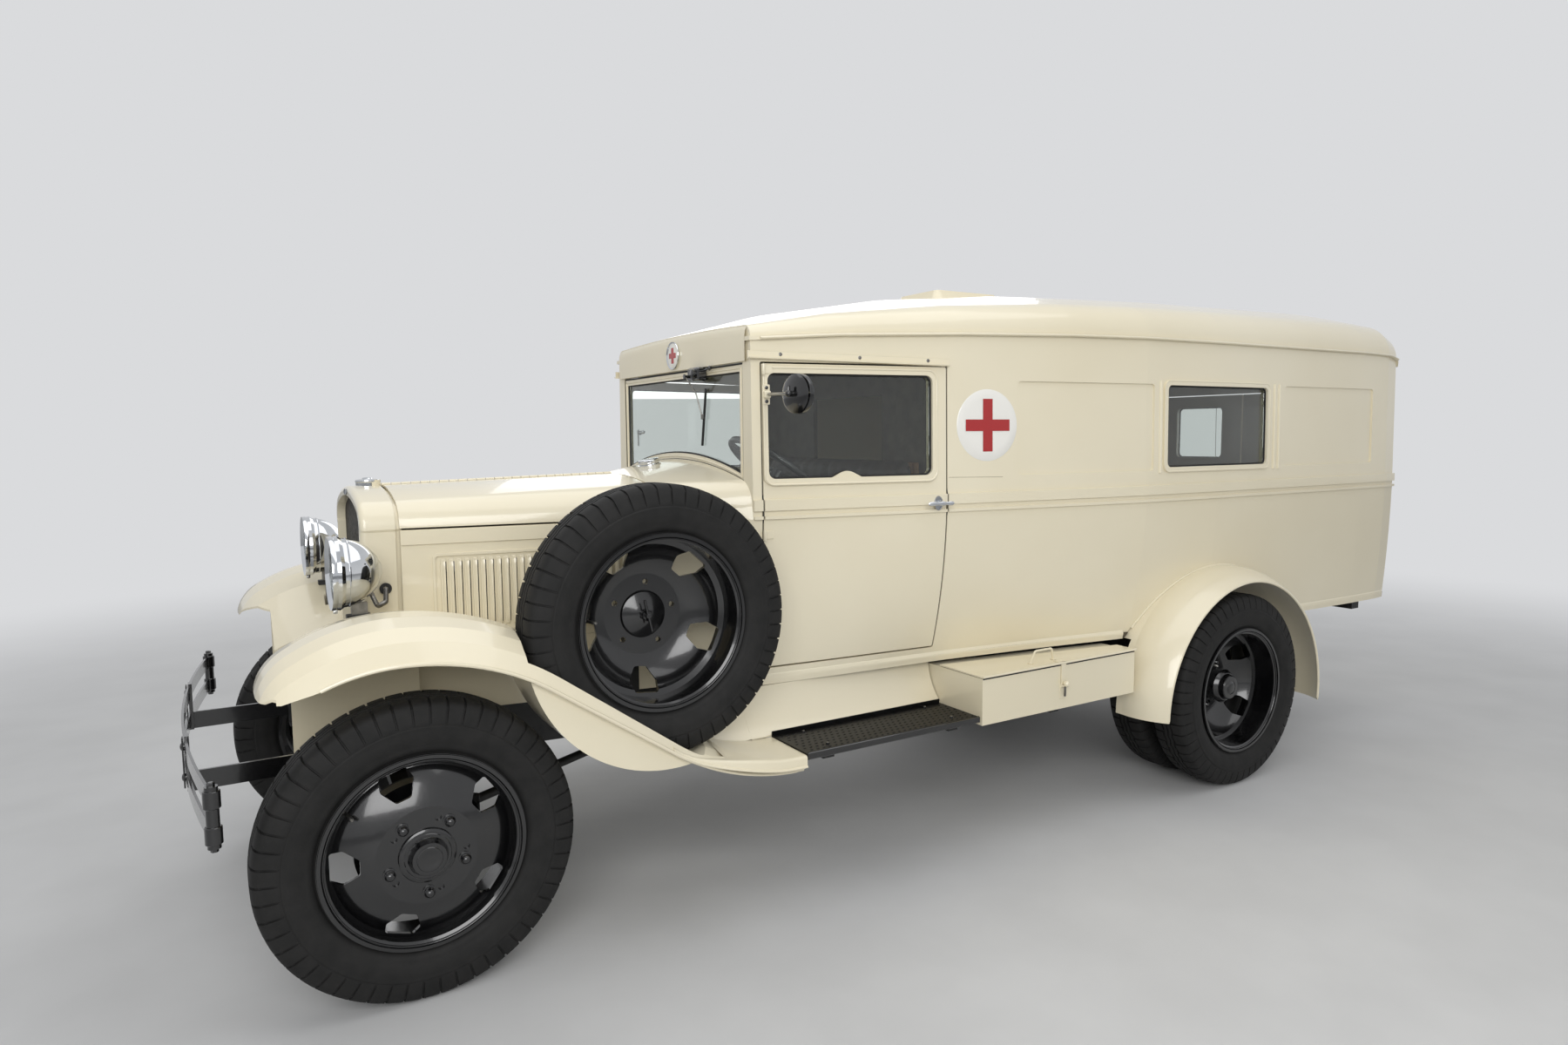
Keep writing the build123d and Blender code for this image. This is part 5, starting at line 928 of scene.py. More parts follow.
HALF_BEAD = ((-0.001, -0.0055), (0.003, -0.0048), (0.0058, -0.0022), (0.0064, 0), (0.0058, 0.0022),
        (0.003, 0.0048), (-0.001, 0.0055))
SMALL_BEAD = [(a * 0.55, b * 0.7) for a, b in HALF_BEAD]
FLAT_BEAD = [(a * 0.3, b * 0.5) for a, b in HALF_BEAD]
DOOR_LOOP = (-1.833, -1.170, 1.372, 1.770, 0.034)
WINDOW_LOOP = (-3.663, -2.947, 1.377, 1.753, 0.030)
for side, label in SIDES:
    tree = body_walls[side]
    drip, outs = wall_line(tree, side, [(x, seam_height(x) - 0.0085) for x in between(-1.160, -4.775, 90)],
            0.0045)
    piece(f"drip_moulding_{label}", swept_mesh(drip, outs, HALF_BEAD))
    low = between(-1.115, -1.885, 24)
    path, outs = wall_line(tree, side, [(min(x, -1.150), 1.8125 - 0.013 * (-1.115 - x) / 0.77) for x in low],
            0.001)
    for spot, x in zip(path, low):
        spot.x = AXLE + x
    strip = ((0, -0.0145), (0.0035, -0.0145), (0.0175, -0.0125), (0.0185, -0.0095), (0.0165, -0.0085),
            (0.0052, -0.0098), (0.0042, 0.0125), (0, 0.0135))
    rail = swept_mesh(path, outs, [(a, -side * b) for a, b in strip])
    screws = []
    for x in (-1.235, -1.53, -1.80):
        spot, out = on_wall(tree, x, 1.8165 - 0.013 * (-1.115 - x) / 0.77, side)
        screws.append(turned_mesh(((0.003, 0.0075), (0.0055, 0.007), (0.0065, 0.0045), (0.0066, 0)), spot, out,
                14))
    piece(f"door_gutter_{label}", rail)
    piece(f"gutter_screws_{label}", merge(*screws), bare_steel)
    body = f"door_{label}"
    path, outs = wall_line(tree, side, window_loop(*DOOR_LOOP))
    piece(f"door_window_bead_{label}", swept_mesh(path, outs, SMALL_BEAD, True), cream_enamel, body)
    path, outs = wall_line(tree, side, window_loop(*WINDOW_LOOP))
    piece(f"side_window_bead_{label}", swept_mesh(path, outs, FLAT_BEAD, True))
    for (rear, front, low_z, high_z, radius), name in (((-1.815, -1.184, 1.392, 1.752, 0.026), "door"),
            ((-3.645, -2.965, 1.395, 1.735, 0.022), "side")):
        loop = window_loop(rear + 0.0035, front - 0.0035, low_z + 0.0035, high_z - 0.0035, radius - 0.0035)
        outer = window_loop(rear - 0.012, front + 0.012, low_z - 0.012, high_z + 0.012, radius + 0.012)
        deep = []
        for x, z in loop:
            near = min(outer, key=lambda o: hypot(o[0] - x, o[1] - z))
            deep.append(at(x, on_wall(tree, *near, side)[0].y - side * 0.0135, z))
        seal = swept_mesh(deep, (0, side, 0), ((-0.002, -0.003), (0.0035, -0.003), (0.0045, 0), (0.0035, 0.003),
                (-0.002, 0.003)), True)
        piece(f"{name}_window_seal_{label}", seal, trim_rubber, body if name == "door" else "chassis")
    ribs = []
    for x in (-2.929, -3.709, -3.745):
        path, outs = wall_line(tree, side, [(x, z) for z in between(1.372, 1.752, 10)])
        ribs.append(swept_mesh(path, outs, [(a * 1.1, b * 1.5) for a, b in HALF_BEAD]))
    piece(f"window_ribs_{label}", merge(*ribs))
print("mouldings laid")

# %% [markdown]
# ## Red crosses
# On each side, behind the door, a white disc of 268 mm carries the red cross. It is sign painter's enamel
# laid on the panel, so the disc follows the wall and stands only a coat of paint above it.

# %% White disc and red cross on both sides
CROSS_X, CROSS_Z, DISC_RADIUS, ARM_HALF, ARM_WIDE = -2.055, 1.572, 0.134, 0.098, 0.0215


def painted_patch(tree, side, grid, lift):
    """A patch of paint: a grid of (x, z) rows laid on the wall, this far above it."""
    return grid_mesh([wall_line(tree, side, row, lift)[0] for row in grid], side > 0)


for side, label in SIDES:
    tree = body_walls[side]
    rings = [[(CROSS_X + DISC_RADIUS * r * cos(tau * k / 60), CROSS_Z + DISC_RADIUS * r * sin(tau * k / 60))
            for k in range(61)] for r in (0.001, 0.25, 0.5, 0.75, 0.97, 1.0)]
    points, faces = painted_patch(tree, side, rings, 0.0022)
    points = points[:-61] + [p - Vector((0, side * 0.0021, 0)) for p in points[-61:]]
    piece(f"cross_disc_{label}", (points, faces), emblem_white, slot="shell_paint")
    upright = [[(CROSS_X + a, CROSS_Z + b) for a in (-ARM_WIDE, 0, ARM_WIDE)]
            for b in between(-ARM_HALF, ARM_HALF, 8)]
    level = [[(CROSS_X + a, CROSS_Z + b) for a in between(-ARM_HALF, ARM_HALF, 8)]
            for b in (-ARM_WIDE, 0, ARM_WIDE)]
    patches = [painted_patch(tree, side, upright, 0.0034), painted_patch(tree, side, level, 0.0036)]
    piece(f"cross_{label}", merge(*patches), cross_red, slot="shell_paint")
print("crosses painted")

# %% [markdown]
# ## Doors: handles, hinges, mirror
# Each cab door hangs on three strap hinges at its front edge and has a chrome lever handle on an oval
# plate. The left door also carries the round mirror: a cream clamp with two black screws holds its arm.

# %% Door furniture
def lever_handle(tree, side, x, z, front, rear):
    """An oval plate and a flat lever across it, thick in the middle and rounded at both ends."""
    spot, out = on_wall(tree, x, z, side)
    turn = facing_matrix(spot, out)
    plate = moved_mesh(oval_mesh(0.017, 0.026, 0.004, 0.25), turn)
    stem = turned_mesh(((0.003, 0.010), (0.008, 0.007), (0.022, 0.0055), (0.034, 0.0055), (0.034, 0)), spot,
            out, 16)
    ends = ((-1, 0), (-0.99, 0.35), (-0.93, 0.66), (-0.8, 0.84), (-0.62, 0.86), (-0.4, 0.66), (-0.22, 0.62),
            (0, 1), (0.22, 0.62), (0.4, 0.66), (0.62, 0.86), (0.8, 0.84), (0.93, 0.66), (0.99, 0.35), (1, 0))
    points, faces = turned_mesh([((rear if a * side > 0 else front) * a, 0.0095 * b) for a, b in ends],
            (0, 0, 0), (1, 0, 0), 18)
    lever = moved_mesh(([(p[0], p[1], p[2] * 0.62 + 0.037) for p in points], faces), turn)
    return merge(plate, stem, lever)


for side, label in SIDES:
    tree = body_walls[side]
    piece(f"door_handle_{label}", lever_handle(tree, side, -1.836, 1.288, 0.062, 0.046), chrome,
            f"door_{label}")
    hinges = []
    for z in (0.86, 1.20, 1.763):
        door_side, out = on_wall(tree, -1.185, z, side)
        leaf = box_mesh((-0.016, -0.014, 0.0003), (0.016, 0.014, 0.0035), 0.001)
        hinges.append(moved_mesh(leaf, facing_matrix(door_side, out)))
        barrel = at(-1.1625, side * 0.622, z - 0.018)
        hinges.append(turned_mesh(((0, 0), (0, 0.0052), (0.003, 0.0058), (0.033, 0.0058), (0.036, 0.0052),
                (0.036, 0)), barrel, (0, 0, 1), 14))
    piece(f"door_hinges_{label}", merge(*hinges), cream_enamel, f"door_{label}")

MIRROR_PLACE, MIRROR_TURN = at(-1.158, 0.845, 1.671), Vector((-0.985, -0.17, 0)).normalized()
silver_face = turned_mesh(((0.0005, 0.058), (0.0012, 0.057), (0.0014, 0)), MIRROR_PLACE, MIRROR_TURN, 48)
piece("mirror_silver", silver_face, silvering, "door_left", slot="chrome")
mirror_rim = ring_mesh(MIRROR_PLACE, MIRROR_TURN, 0.0605, ((0.0028, -0.012), (0.0034, -0.004), (0.0028, 0.0015),
        (0.0008, 0.003), (-0.0025, 0.002), (-0.003, -0.012)), 48)
back = turned_mesh(((-0.0115, 0.0625), (-0.014, 0.059), (-0.018, 0.050), (-0.0215, 0.036), (-0.0235, 0.020),
        (-0.024, 0.0105), (-0.032, 0.0095), (-0.036, 0.0095), (-0.038, 0)), MIRROR_PLACE, MIRROR_TURN, 48)
ball_place = MIRROR_PLACE - MIRROR_TURN * 0.040
ball = turned_mesh(ball_profile(0.011, 18), ball_place, (0, 0, 1), 16)
arm_foot = at(-1.172, 0.640, 1.678)
arm = rod_mesh([arm_foot, ball_place], 0.006, 0.05, 12, (0, 0, 1), 0.02)
thumb = turned_mesh(((0.0, 0.006), (0.012, 0.006), (0.016, 0.004), (0.017, 0)),
        ball_place + Vector((0, 0, 0.009)), (0, 0, 1), 10)
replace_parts(piece("mirror_shell", merge(mirror_rim, back, ball, arm, thumb), black_enamel, "door_left"),
        "mirror_left")
clamp_spot, clamp_out = on_wall(body_walls[1], -1.177, 1.678, 1)
clamp_turn = facing_matrix(clamp_spot, clamp_out)
clamp = [moved_mesh(box_mesh((-0.013, -0.034, 0.0), (0.013, 0.034, 0.007), 0.002), clamp_turn),
        moved_mesh(box_mesh((-0.011, -0.012, 0.006), (0.011, 0.012, 0.024), 0.003), clamp_turn)]
piece("mirror_clamp", merge(*clamp), cream_enamel, "door_left")
bolts = [moved_mesh(turned_mesh(((0.006, 0.0065), (0.010, 0.0065), (0.0115, 0.004), (0.0118, 0)), (0, y, 0),
        (0, 0, 1), 6), clamp_turn) for y in (-0.023, 0.023)]
piece("mirror_bolts", merge(*bolts), black_enamel, "door_left")
print("doors furnished")

# %% [markdown]
# ## Fenders and running boards
# The outer edge of each fender is rolled over a wire, so it ends in a round bead. A strip of welting closes
# the joint between the rear fender and the body. The running boards are pressed tread plate: small diamond
# studs in rows, 24 mm apart, under black enamel that shoes have dulled, with a plain edge strip; four bolts
# hold each board.

# %% Fender edges and tread plate
FRONT_FENDER_Y, REAR_FENDER_Y, REAR_RIM_RADIUS, WELT_RADIUS = 0.8635, 1.0175, 0.5355, 0.5915
for side, label in SIDES:
    tree = surface_of(f"front_fender_{label}")
    path = [hit(tree, at(x, side * FRONT_FENDER_Y, 0.2), (0, 0, 1))[0] + Vector((0, side * 0.0025, 0.002))
            for x in between(0.245, -1.13, 70)]
    piece(f"front_fender_bead_{label}", swept_mesh(path, (0, side, 0), round_section(0.0055, 8)))
    arch = Vector((REAR_AXLE, 0, 0.365))
    rim_path, rim_outs = [], []
    for k in range(61):
        turn = radians(-5 + (180 + 5.4 + 5) * k / 60)
        out = Vector((cos(turn), 0, sin(turn)))
        spot = arch + out * REAR_RIM_RADIUS
        if spot.z < (0.372 if out.x > 0 else 0.307):
            continue
        rim_path.append(spot + Vector((0, side * REAR_FENDER_Y, 0)))
        rim_outs.append(out)
    piece(f"rear_fender_bead_{label}", swept_mesh(rim_path, rim_outs, round_section(0.0055, 8)))
    wall_tree, welt, welt_outs = surface_of(f"side_{label}"), [], []
    for k in range(49):
        turn = radians(14 + 152 * k / 48)
        out = Vector((cos(turn), 0, sin(turn)))
        spot = arch + out * WELT_RADIUS
        if spot.z < 0.705:
            continue
        wall, _ = hit(wall_tree, (spot.x + out.x * 0.012, side * 1.4, spot.z + out.z * 0.012), (0, -side, 0))
        welt.append(Vector((spot.x, wall.y + side * 0.001, spot.z)))
        welt_outs.append(out)
    piece(f"fender_welt_{label}", swept_mesh(welt, welt_outs, round_section(0.0045, 8)))

STUD_PITCH, BOARD_TOP = 0.024, 0.517
for side, label in SIDES:
    studs_points, studs_faces = [], []
    for i in range(30):
        for j in range(8):
            x = AXLE - 1.172 - i * STUD_PITCH - (STUD_PITCH / 2 if j % 2 else 0)
            y = side * (0.706 + j * STUD_PITCH)
            start = len(studs_points)
            studs_points.extend([(x - 0.007, y, BOARD_TOP), (x, y - 0.004, BOARD_TOP),
                    (x + 0.007, y, BOARD_TOP), (x, y + 0.004, BOARD_TOP), (x - 0.0035, y, BOARD_TOP + 0.002),
                    (x + 0.0035, y, BOARD_TOP + 0.002)])
            studs_faces.extend([[start + a for a in face] for face in ((0, 1, 4), (1, 5, 4), (1, 2, 5),
                    (2, 3, 5), (3, 4, 5), (3, 0, 4))])
    piece(f"tread_plate_{label}", (studs_points, studs_faces), tread_enamel, slot="dark_paint")
    trim = box_mesh(at(-1.893, side * 0.8945, 0.4965), at(-1.152, side * 0.9025, 0.5205), 0.003)
    bolts = [turned_mesh(((0, 0.006), (0.004, 0.006), (0.006, 0.0045), (0.0065, 0)), at(x, side * y, BOARD_TOP),
            (0, 0, 1), 10) for x in (-1.262, -1.802) for y in (0.70, 0.85)]
    piece(f"board_edge_{label}", merge(trim, *bolts), black_enamel, slot="dark_paint")
print("fenders and boards dressed")

# %% [markdown]
# ## Toolbox
# The toolbox is folded steel with a flat lid on a long hinge against the body. A strap on the lid falls
# over a hasp on the box, and a steel pin locks it; a wire loop on the lid is its handle. A ledge and an end
# plate close the gap to the body, and a black strip under the lid's edge is painted shade for the gap between
# lid and box. The rest is painted over in cream.

# %% Strap, hasp, loop and hinge
LID_TOP = 0.663
strap = [box_mesh(at(-2.331, 0.9005, 0.566), at(-2.307, 0.9065, 0.666), 0.001),
        box_mesh(at(-2.339, 0.868, LID_TOP), at(-2.299, 0.906, LID_TOP + 0.003), 0.001)]
strap += [turned_mesh(((0.002, 0.0045), (0.0045, 0.004), (0.006, 0)), at(x, 0.880, LID_TOP), (0, 0, 1), 10)
        for x in (-2.329, -2.309)]
piece("toolbox_strap", merge(*strap), cream_enamel, "toolbox_lid")
hasp_parts = [box_mesh(at(-2.336, 0.899, 0.520), at(-2.302, 0.9025, 0.580), 0.001),
        turned_mesh(((0, 0.0045), (0.010, 0.0045), (0.012, 0.011), (0.022, 0.012), (0.029, 0.007), (0.030, 0)),
        at(-2.319, 0.903, 0.582), (0, 1, 0), 14)]
pin = rod_mesh([at(-2.319, 0.914, 0.578), at(-2.321, 0.911, 0.532)], 0.0042, 0.05, 8, (0, 1, 0), 0.02)
piece("toolbox_pin", pin, bare_steel)
staple = rod_mesh([at(-2.327, 0.9015, 0.572), at(-2.327, 0.912, 0.572), at(-2.311, 0.912, 0.572),
        at(-2.311, 0.9015, 0.572)], 0.0026, 0.006, 8, (0, 0, 1), 0.003)
piece("toolbox_hasp", merge(*hasp_parts, staple))
loop = rod_mesh([at(-2.198, 0.848, LID_TOP + 0.001), at(-2.214, 0.856, LID_TOP + 0.048),
        at(-2.304, 0.856, LID_TOP + 0.048), at(-2.320, 0.848, LID_TOP + 0.001)], 0.0044, 0.014, 8, (0, 1, 0),
        0.008)
feet = [box_mesh((AXLE + x - 0.009, 0.840, LID_TOP), (AXLE + x + 0.009, 0.858, LID_TOP + 0.004)) for x in
        (-2.198, -2.320)]
piece("toolbox_handle", merge(loop, *feet), cream_enamel, "toolbox_lid")
hinge_low, hinge_high = at(-1.925, 0.6735, 0.6555), at(-2.715, 0.8050, 0.6555)
piece("toolbox_hinge", merge(*hinge_row(hinge_low, hinge_high, 16, 0.05, 0.0042)))
lid_edge = swept_mesh([at(x, 0.9030, 0.6605) for x in between(-1.903, -2.737, 12)], (0, 1, 0),
        ((-0.001, -0.0055), (0.0045, -0.005), (0.0055, 0), (0.0045, 0.0022), (-0.001, 0.0024)))
piece("toolbox_lid_edge", lid_edge, cream_enamel, "toolbox_lid")
# A black strip under the lid's edge: painted shade for the gap between lid and box.
lid_gap_shade = swept_mesh([at(x, 0.9000, 0.6530) for x in between(-1.907, -2.733, 12)], (0, 1, 0),
        ((-0.001, -0.002), (0.0012, -0.002), (0.0012, 0.002), (-0.001, 0.002)))
piece("toolbox_gap_shade", lid_gap_shade, trim_rubber)
ledge = [[hinge_low.lerp(hinge_high, -0.023 + 1.045 * k / 10) + Vector((0, -inward, drop))
        for inward, drop in ((0.002, -0.0045), (0.004, 0.0), (0.030, 0.0005), (0.075, 0.0005))]
        for k in range(11)]
end_plate = box_mesh(at(-1.9095, 0.588, 0.522), at(-1.9065, 0.674, 0.6545), 0.0008)
piece("toolbox_ledge", merge(grid_mesh(ledge, False), end_plate))
print("toolbox dressed")

# %% [markdown]
# ## Bumper
# Each bar is spring steel rolled over at its end, so the two bars end in eyes round one bolt: a sleeve
# above and a sleeve below. Clamp plates with two round-headed bolts hold the bars to the flat irons.

# %% Sleeves and bolts
for side, label in SIDES:
    x, y = AXLE + 0.486, side * 0.830
    pieces = [turned_mesh(((0, 0), (0, 0.0175), (0.002, 0.0195), (0.042, 0.0195), (0.044, 0.0175),
            (0.044, 0.0)), (x, y, z), (0, 0, 1), 24) for z in (0.580, 0.668)]
    pieces.append(turned_mesh(((0, 0.009), (0.010, 0.009), (0.012, 0.006), (0.012, 0)), (x, y, 0.720),
            (0, 0, 1), 6))
    pieces.append(turned_mesh(((0, 0), (0, 0.009), (0.010, 0.009), (0.010, 0)), (x, y, 0.561), (0, 0, 1), 6))
    pieces.extend(turned_mesh(((-0.006, 0.0), (-0.006, 0.011), (0.002, 0.0115), (0.0055, 0.008), (0.007, 0)),
            at(0.5525, side * 0.331, z), (1, 0, 0), 16) for z in (0.602, 0.690))
    front_plate = box_mesh(at(0.5505, side * 0.3165, 0.574), at(0.5545, side * 0.3465, 0.716), 0.0015)
    piece(f"bumper_end_{label}", merge(*pieces, front_plate), black_enamel)
print("bumper dressed")

# %% [markdown]
# ## Where fender, apron and board meet
# Towards its tail the fender flattens: the round crown turns into a level sheet with an upright lip, and it
# ends square against the running board, at the same height. The apron under the body runs on forward above
# it, so no gap shows behind the spare wheel. Above the aprons the body's lower edge turns out in a small
# rounded step.

# %% Fender tails and the front of the aprons
TAIL_FROM, TAIL_FLAT, TAIL_END, WELL_END = -0.70, -1.02, -1.1495, -0.872
LIP_DROP, TAIL_Y, CROWN_Y = 0.036, 0.902, 0.8655


def eased(x, start, end):
    """A share from 0 to 1 that starts and ends softly."""
    t = min(1.0, max(0.0, (x - start) / (end - start)))
    return t * t * (3 - 2 * t)


plain_crown = surface_of("front_fender_right")


def tail_rows(side):
    """Cross rows of the fender's tail: level, rounded turn, lip; the crown is that of the right fender."""
    rows = []
    for x in between(TAIL_FROM, TAIL_END, 34):
        share = eased(x, TAIL_FROM, TAIL_FLAT)
        level = hit(plain_crown, at(x, -0.70, 2.0), (0, 0, -1))[0].z + 0.010
        edge_y = CROWN_Y + (TAIL_Y - CROWN_Y) * share
        row = []
        for y in between(0.672 if x < WELL_END or side < 0 else 0.852, edge_y - 0.010, 12):
            skin, _ = hit(plain_crown, at(x, -min(y, 0.862), 2.0), (0, 0, -1))
            z = skin.z + (level - skin.z) * share
            row.append(at(x, side * y, max(z, skin.z + 0.0015)))
        top = row[-1].z
        low = skin.z - 0.012 + (level - LIP_DROP - skin.z + 0.012) * share
        for turn in (30, 60, 90):
            row.append(at(x, side * (edge_y - 0.010 + 0.010 * sin(radians(turn))),
                    top - 0.010 * (1 - cos(radians(turn)))))
        row.append(at(x, side * edge_y, low))
        rows.append(row)
    return rows


for side, label in SIDES:
    rows = tail_rows(side)
    lips = [row[-1] for row in rows]
    front_skin = [spot - Vector((0, 0, 0.004)) for spot in rows[0]]
    end_face = [[Vector((spot.x, spot.y, spot.z - drop)) for spot in rows[-1][:13]] for drop in (0.0, 0.034)]
    piece(f"fender_tail_{label}", merge(grid_mesh([front_skin] + rows, side < 0),
            grid_mesh(end_face, side < 0)), crease=60)
    piece(f"fender_tail_bead_{label}", swept_mesh(lips, (0, side, 0), round_section(0.0045, 8)))
    arc = [Vector((0, side * y, z)) for y, z in
           ((0.598, 0.676), (0.6005, 0.650), (0.606, 0.620), (0.6165, 0.592), (0.631, 0.565), (0.648, 0.541),
            (0.672, 0.5165))]
    apron = [[spot + at(x, 0, 0) for spot in arc] for x in between(-0.905, -1.1305, 8)]
    piece(f"apron_front_{label}", grid_mesh(apron, side < 0), crease=60)
    for part, first, last in (("front", -1.165, -2.82), ("rear", -3.90, -4.78)):
        sill = []
        for x in between(first, last, 40):
            row = [at(x, on_wall(body_walls[side], x, 0.702, side)[0].y - side * 0.012, 0.6722)]
            for z, look, out in ((0.6722, 0.7025, 0.0015), (0.680, 0.7065, 0.0015), (0.688, 0.7145, 0.0015),
                    (0.695, 0.7210, 0.0012), (0.6985, 0.7215, 0.0005), (0.7025, 0.7100, 0.0012),
                    (0.7085, 0.7085, 0.0008), (0.7100, 0.7100, -0.0010)):
                wall, _ = on_wall(body_walls[side], x, look, side)
                row.append(at(x, wall.y + side * out, z))
            sill.append(row)
        piece(f"sill_strip_{part}_{label}", grid_mesh(sill, side > 0), crease=50)
print("fender tails laid")

# %% [markdown]
# ## Wiper, windshield catches, finger lift, roof vent
# The wiper motor is a small black box on the windshield frame, with a hand lever; its arm presses a rubber
# blade on the pane. Inside, a chrome wing nut on a short bar holds the windshield at each side. The lower
# edge of the door glass has a finger lift: a smooth arch, 130 mm long. Rivets hold the ventilator's lid to
# the roof. A faint joint shows behind the door where two panels meet, and black strips in the gaps round
# the door are painted shade for the dark inside of those gaps.

# %% Small pieces on the front and the roof
frame_tree = surface_of("windshield_frame", "roof")
pane_tree = surface_of("window_glass")
x = hit(frame_tree, (AXLE, 0.216, 1.774), (-1, 0, 0))[0].x
motor = [box_mesh((x, 0.172, 1.742), (x + 0.040, 0.262, 1.792), 0.006),
        turned_mesh(((0, 0.017), (0.010, 0.0165), (0.012, 0.012), (0.014, 0)), (x + 0.040, 0.232, 1.768),
        (1, 0, 0), 20), turned_mesh(((0, 0.006), (0.016, 0.006), (0.018, 0.009), (0.022, 0.009), (0.023, 0)),
        (x + 0.040, 0.192, 1.760), (1, 0, 0), 16)]
lever = rod_mesh([(x + 0.020, 0.262, 1.777), (x + 0.022, 0.318, 1.783)], 0.0032, 0.01, 8, (0, 0, 1), 0.02)
ball = turned_mesh(((-0.009, 0), (-0.0065, 0.0065), (0, 0.009), (0.0065, 0.0065), (0.009, 0)),
        (x + 0.0225, 0.324, 1.784), (0, 1, 0), 14)
piece("wiper_motor", merge(*motor, lever, ball), black_enamel)
pane_x = hit(pane_tree, (AXLE, 0.22, 1.62), (-1, 0, 0))[0].x
arm = rod_mesh([(x + 0.059, 0.194, 1.762), (pane_x + 0.030, 0.206, 1.700), (pane_x + 0.013, 0.221, 1.612)],
        0.0028, 0.05, 8, (0, 1, 0), 0.012)
clip = box_mesh((pane_x + 0.008, 0.214, 1.602), (pane_x + 0.016, 0.228, 1.622), 0.002)
piece("wiper_arm", merge(arm, clip), bare_steel)
blade_path = [Vector((pane_x + 0.0045, 0.240, 1.715)).lerp(Vector((pane_x + 0.0045, 0.203, 1.505)), k / 10)
        for k in range(11)]
blade = swept_mesh(blade_path, (1, 0, 0), ((-0.0042, -0.0006), (-0.0042, 0.0006), (0.0, 0.0042),
        (0.0042, 0.0034), (0.0048, 0), (0.0042, -0.0034), (0.0, -0.0042)))
piece("wiper_blade", blade, trim_rubber)

for side, label in SIDES:
    spot = Vector((pane_x - 0.028, side * 0.484, 1.558))
    bracket = box_mesh((spot.x - 0.004, spot.y - 0.007, 1.500), (spot.x, spot.y + 0.007, 1.572), 0.002)
    hub = turned_mesh(((0, 0.010), (0.012, 0.010), (0.016, 0.007), (0.018, 0)), spot, (-1, 0, 0), 16)
    wings = [turned_mesh(((0.006, 0.0055), (0.015, 0.0085), (0.024, 0.0075), (0.028, 0.004), (0.029, 0)),
            spot + Vector((-0.010, 0, 0)), (-0.35, tip, 0.15), 10) for tip in (1, -1)]
    piece(f"windshield_catch_{label}", merge(bracket, hub, *wings), chrome)

for side, label in SIDES:
    low, high = (on_wall(body_walls[side], x, 1.384, side)[0] for x in (-1.411, -1.543))
    rows = []
    for k in range(21):
        edge = low.lerp(high, k / 20) - Vector((0, side * 0.004, 0))
        rise = 0.024 * (0.5 - 0.5 * cos(tau * k / 20)) ** 0.8
        rows.append([edge + Vector((0, 0, lift)) for lift in (0.0, 0.006 + rise)] + [edge + Vector((0,
                -side * 0.006, lift)) for lift in (0.006 + rise, 0.0)])
    piece(f"finger_lift_{label}", grid_mesh(rows, side > 0), cream_enamel, f"door_{label}")

rivets = []
for i in range(7):
    for y in (-0.168, 0.168):
        spot, out = hit(roof_tree, (AXLE - 2.345 - i * 0.056, y, 3.0), (0, 0, -1))
        rivets.append(turned_mesh(((0, 0.0055), (0.0015, 0.005), (0.0028, 0.003), (0.0032, 0)), spot, out, 10))
piece("vent_rivets", merge(*rivets))

joint_shadow = new_finish("panel_joint_shadow", {"Roughness": 0.8, "Base Color": tint("#8C8064")})
for side, label in SIDES:
    seam = [(x, 1.381 - 0.004 * k / 10) for k, x in enumerate(between(-1.887, -2.125, 10))]
    section = ((-0.001, -0.0007), (0.0004, -0.0007), (0.0004, 0.0007), (-0.001, 0.0007))
    piece(f"panel_seams_{label}", swept_mesh(*wall_line(body_walls[side], side, seam), section), joint_shadow,
            slot="shell_paint")
    # Black strips set into the door gaps: painted shade for the dark inside the gaps.
    gap_shade_strips = []
    for x, beside in ((-1.879, -1.884), (-1.165, -1.1605)):
        gap, outs = wall_line(body_walls[side], side, [(beside, z) for z in between(0.735, 1.79, 40)], -0.004)
        for spot in gap:
            spot.x = AXLE + x
        gap_shade_strips.append(swept_mesh(gap, outs, ((-0.001, -0.0021), (0.0, -0.0021), (0.0, 0.0021),
                (-0.001, 0.0021))))
    piece(f"door_gap_shade_strips_{label}", merge(*gap_shade_strips), trim_rubber)
print("front and roof furnished")

# %% [markdown]
# ## Inside the cab
# Behind the glass the driver has a steel instrument panel with three round dials, a gear lever with a ball,
# a hand brake and three pedals. The seat is leathercloth stuffed with horsehair: both cushions swell
# between rows of stitching, on a frame of varnished boards. Little here is bright, so it shows only as dark
# shapes.

# %% Panel, levers, pedals, cushions
panel_x = AXLE - 1.195
board = swept_mesh([Vector((panel_x, y, 1.315)) for y in between(-0.50, 0.50, 12)], (-1, 0, 0),
        ((-0.004, -0.055), (0.006, -0.055), (0.012, -0.045), (0.012, 0.035), (0.004, 0.050), (-0.004, 0.050)))
piece("instrument_panel", board, black_enamel)
dial_face = new_finish("dial_face_cream", {"Roughness": 0.4, "Base Color": tint("#CFC8B4")})
dials, rims = [], []
for y, z, radius in ((0.0, 1.315, 0.036), (0.085, 1.315, 0.024), (-0.085, 1.315, 0.024)):
    spot = Vector((panel_x - 0.0125, y, z))
    dials.append(turned_mesh(((0.0, radius), (0.001, radius), (0.001, 0)), spot, (-1, 0, 0), 32))
    rims.append(ring_mesh(spot, (-1, 0, 0), radius, ((0.003, -0.001), (0.003, 0.003), (0, 0.004),
            (-0.002, 0.001)), 32))
piece("dials", merge(*dials), dial_face, slot="black_plastic")
piece("dial_rims", merge(*rims), chrome)

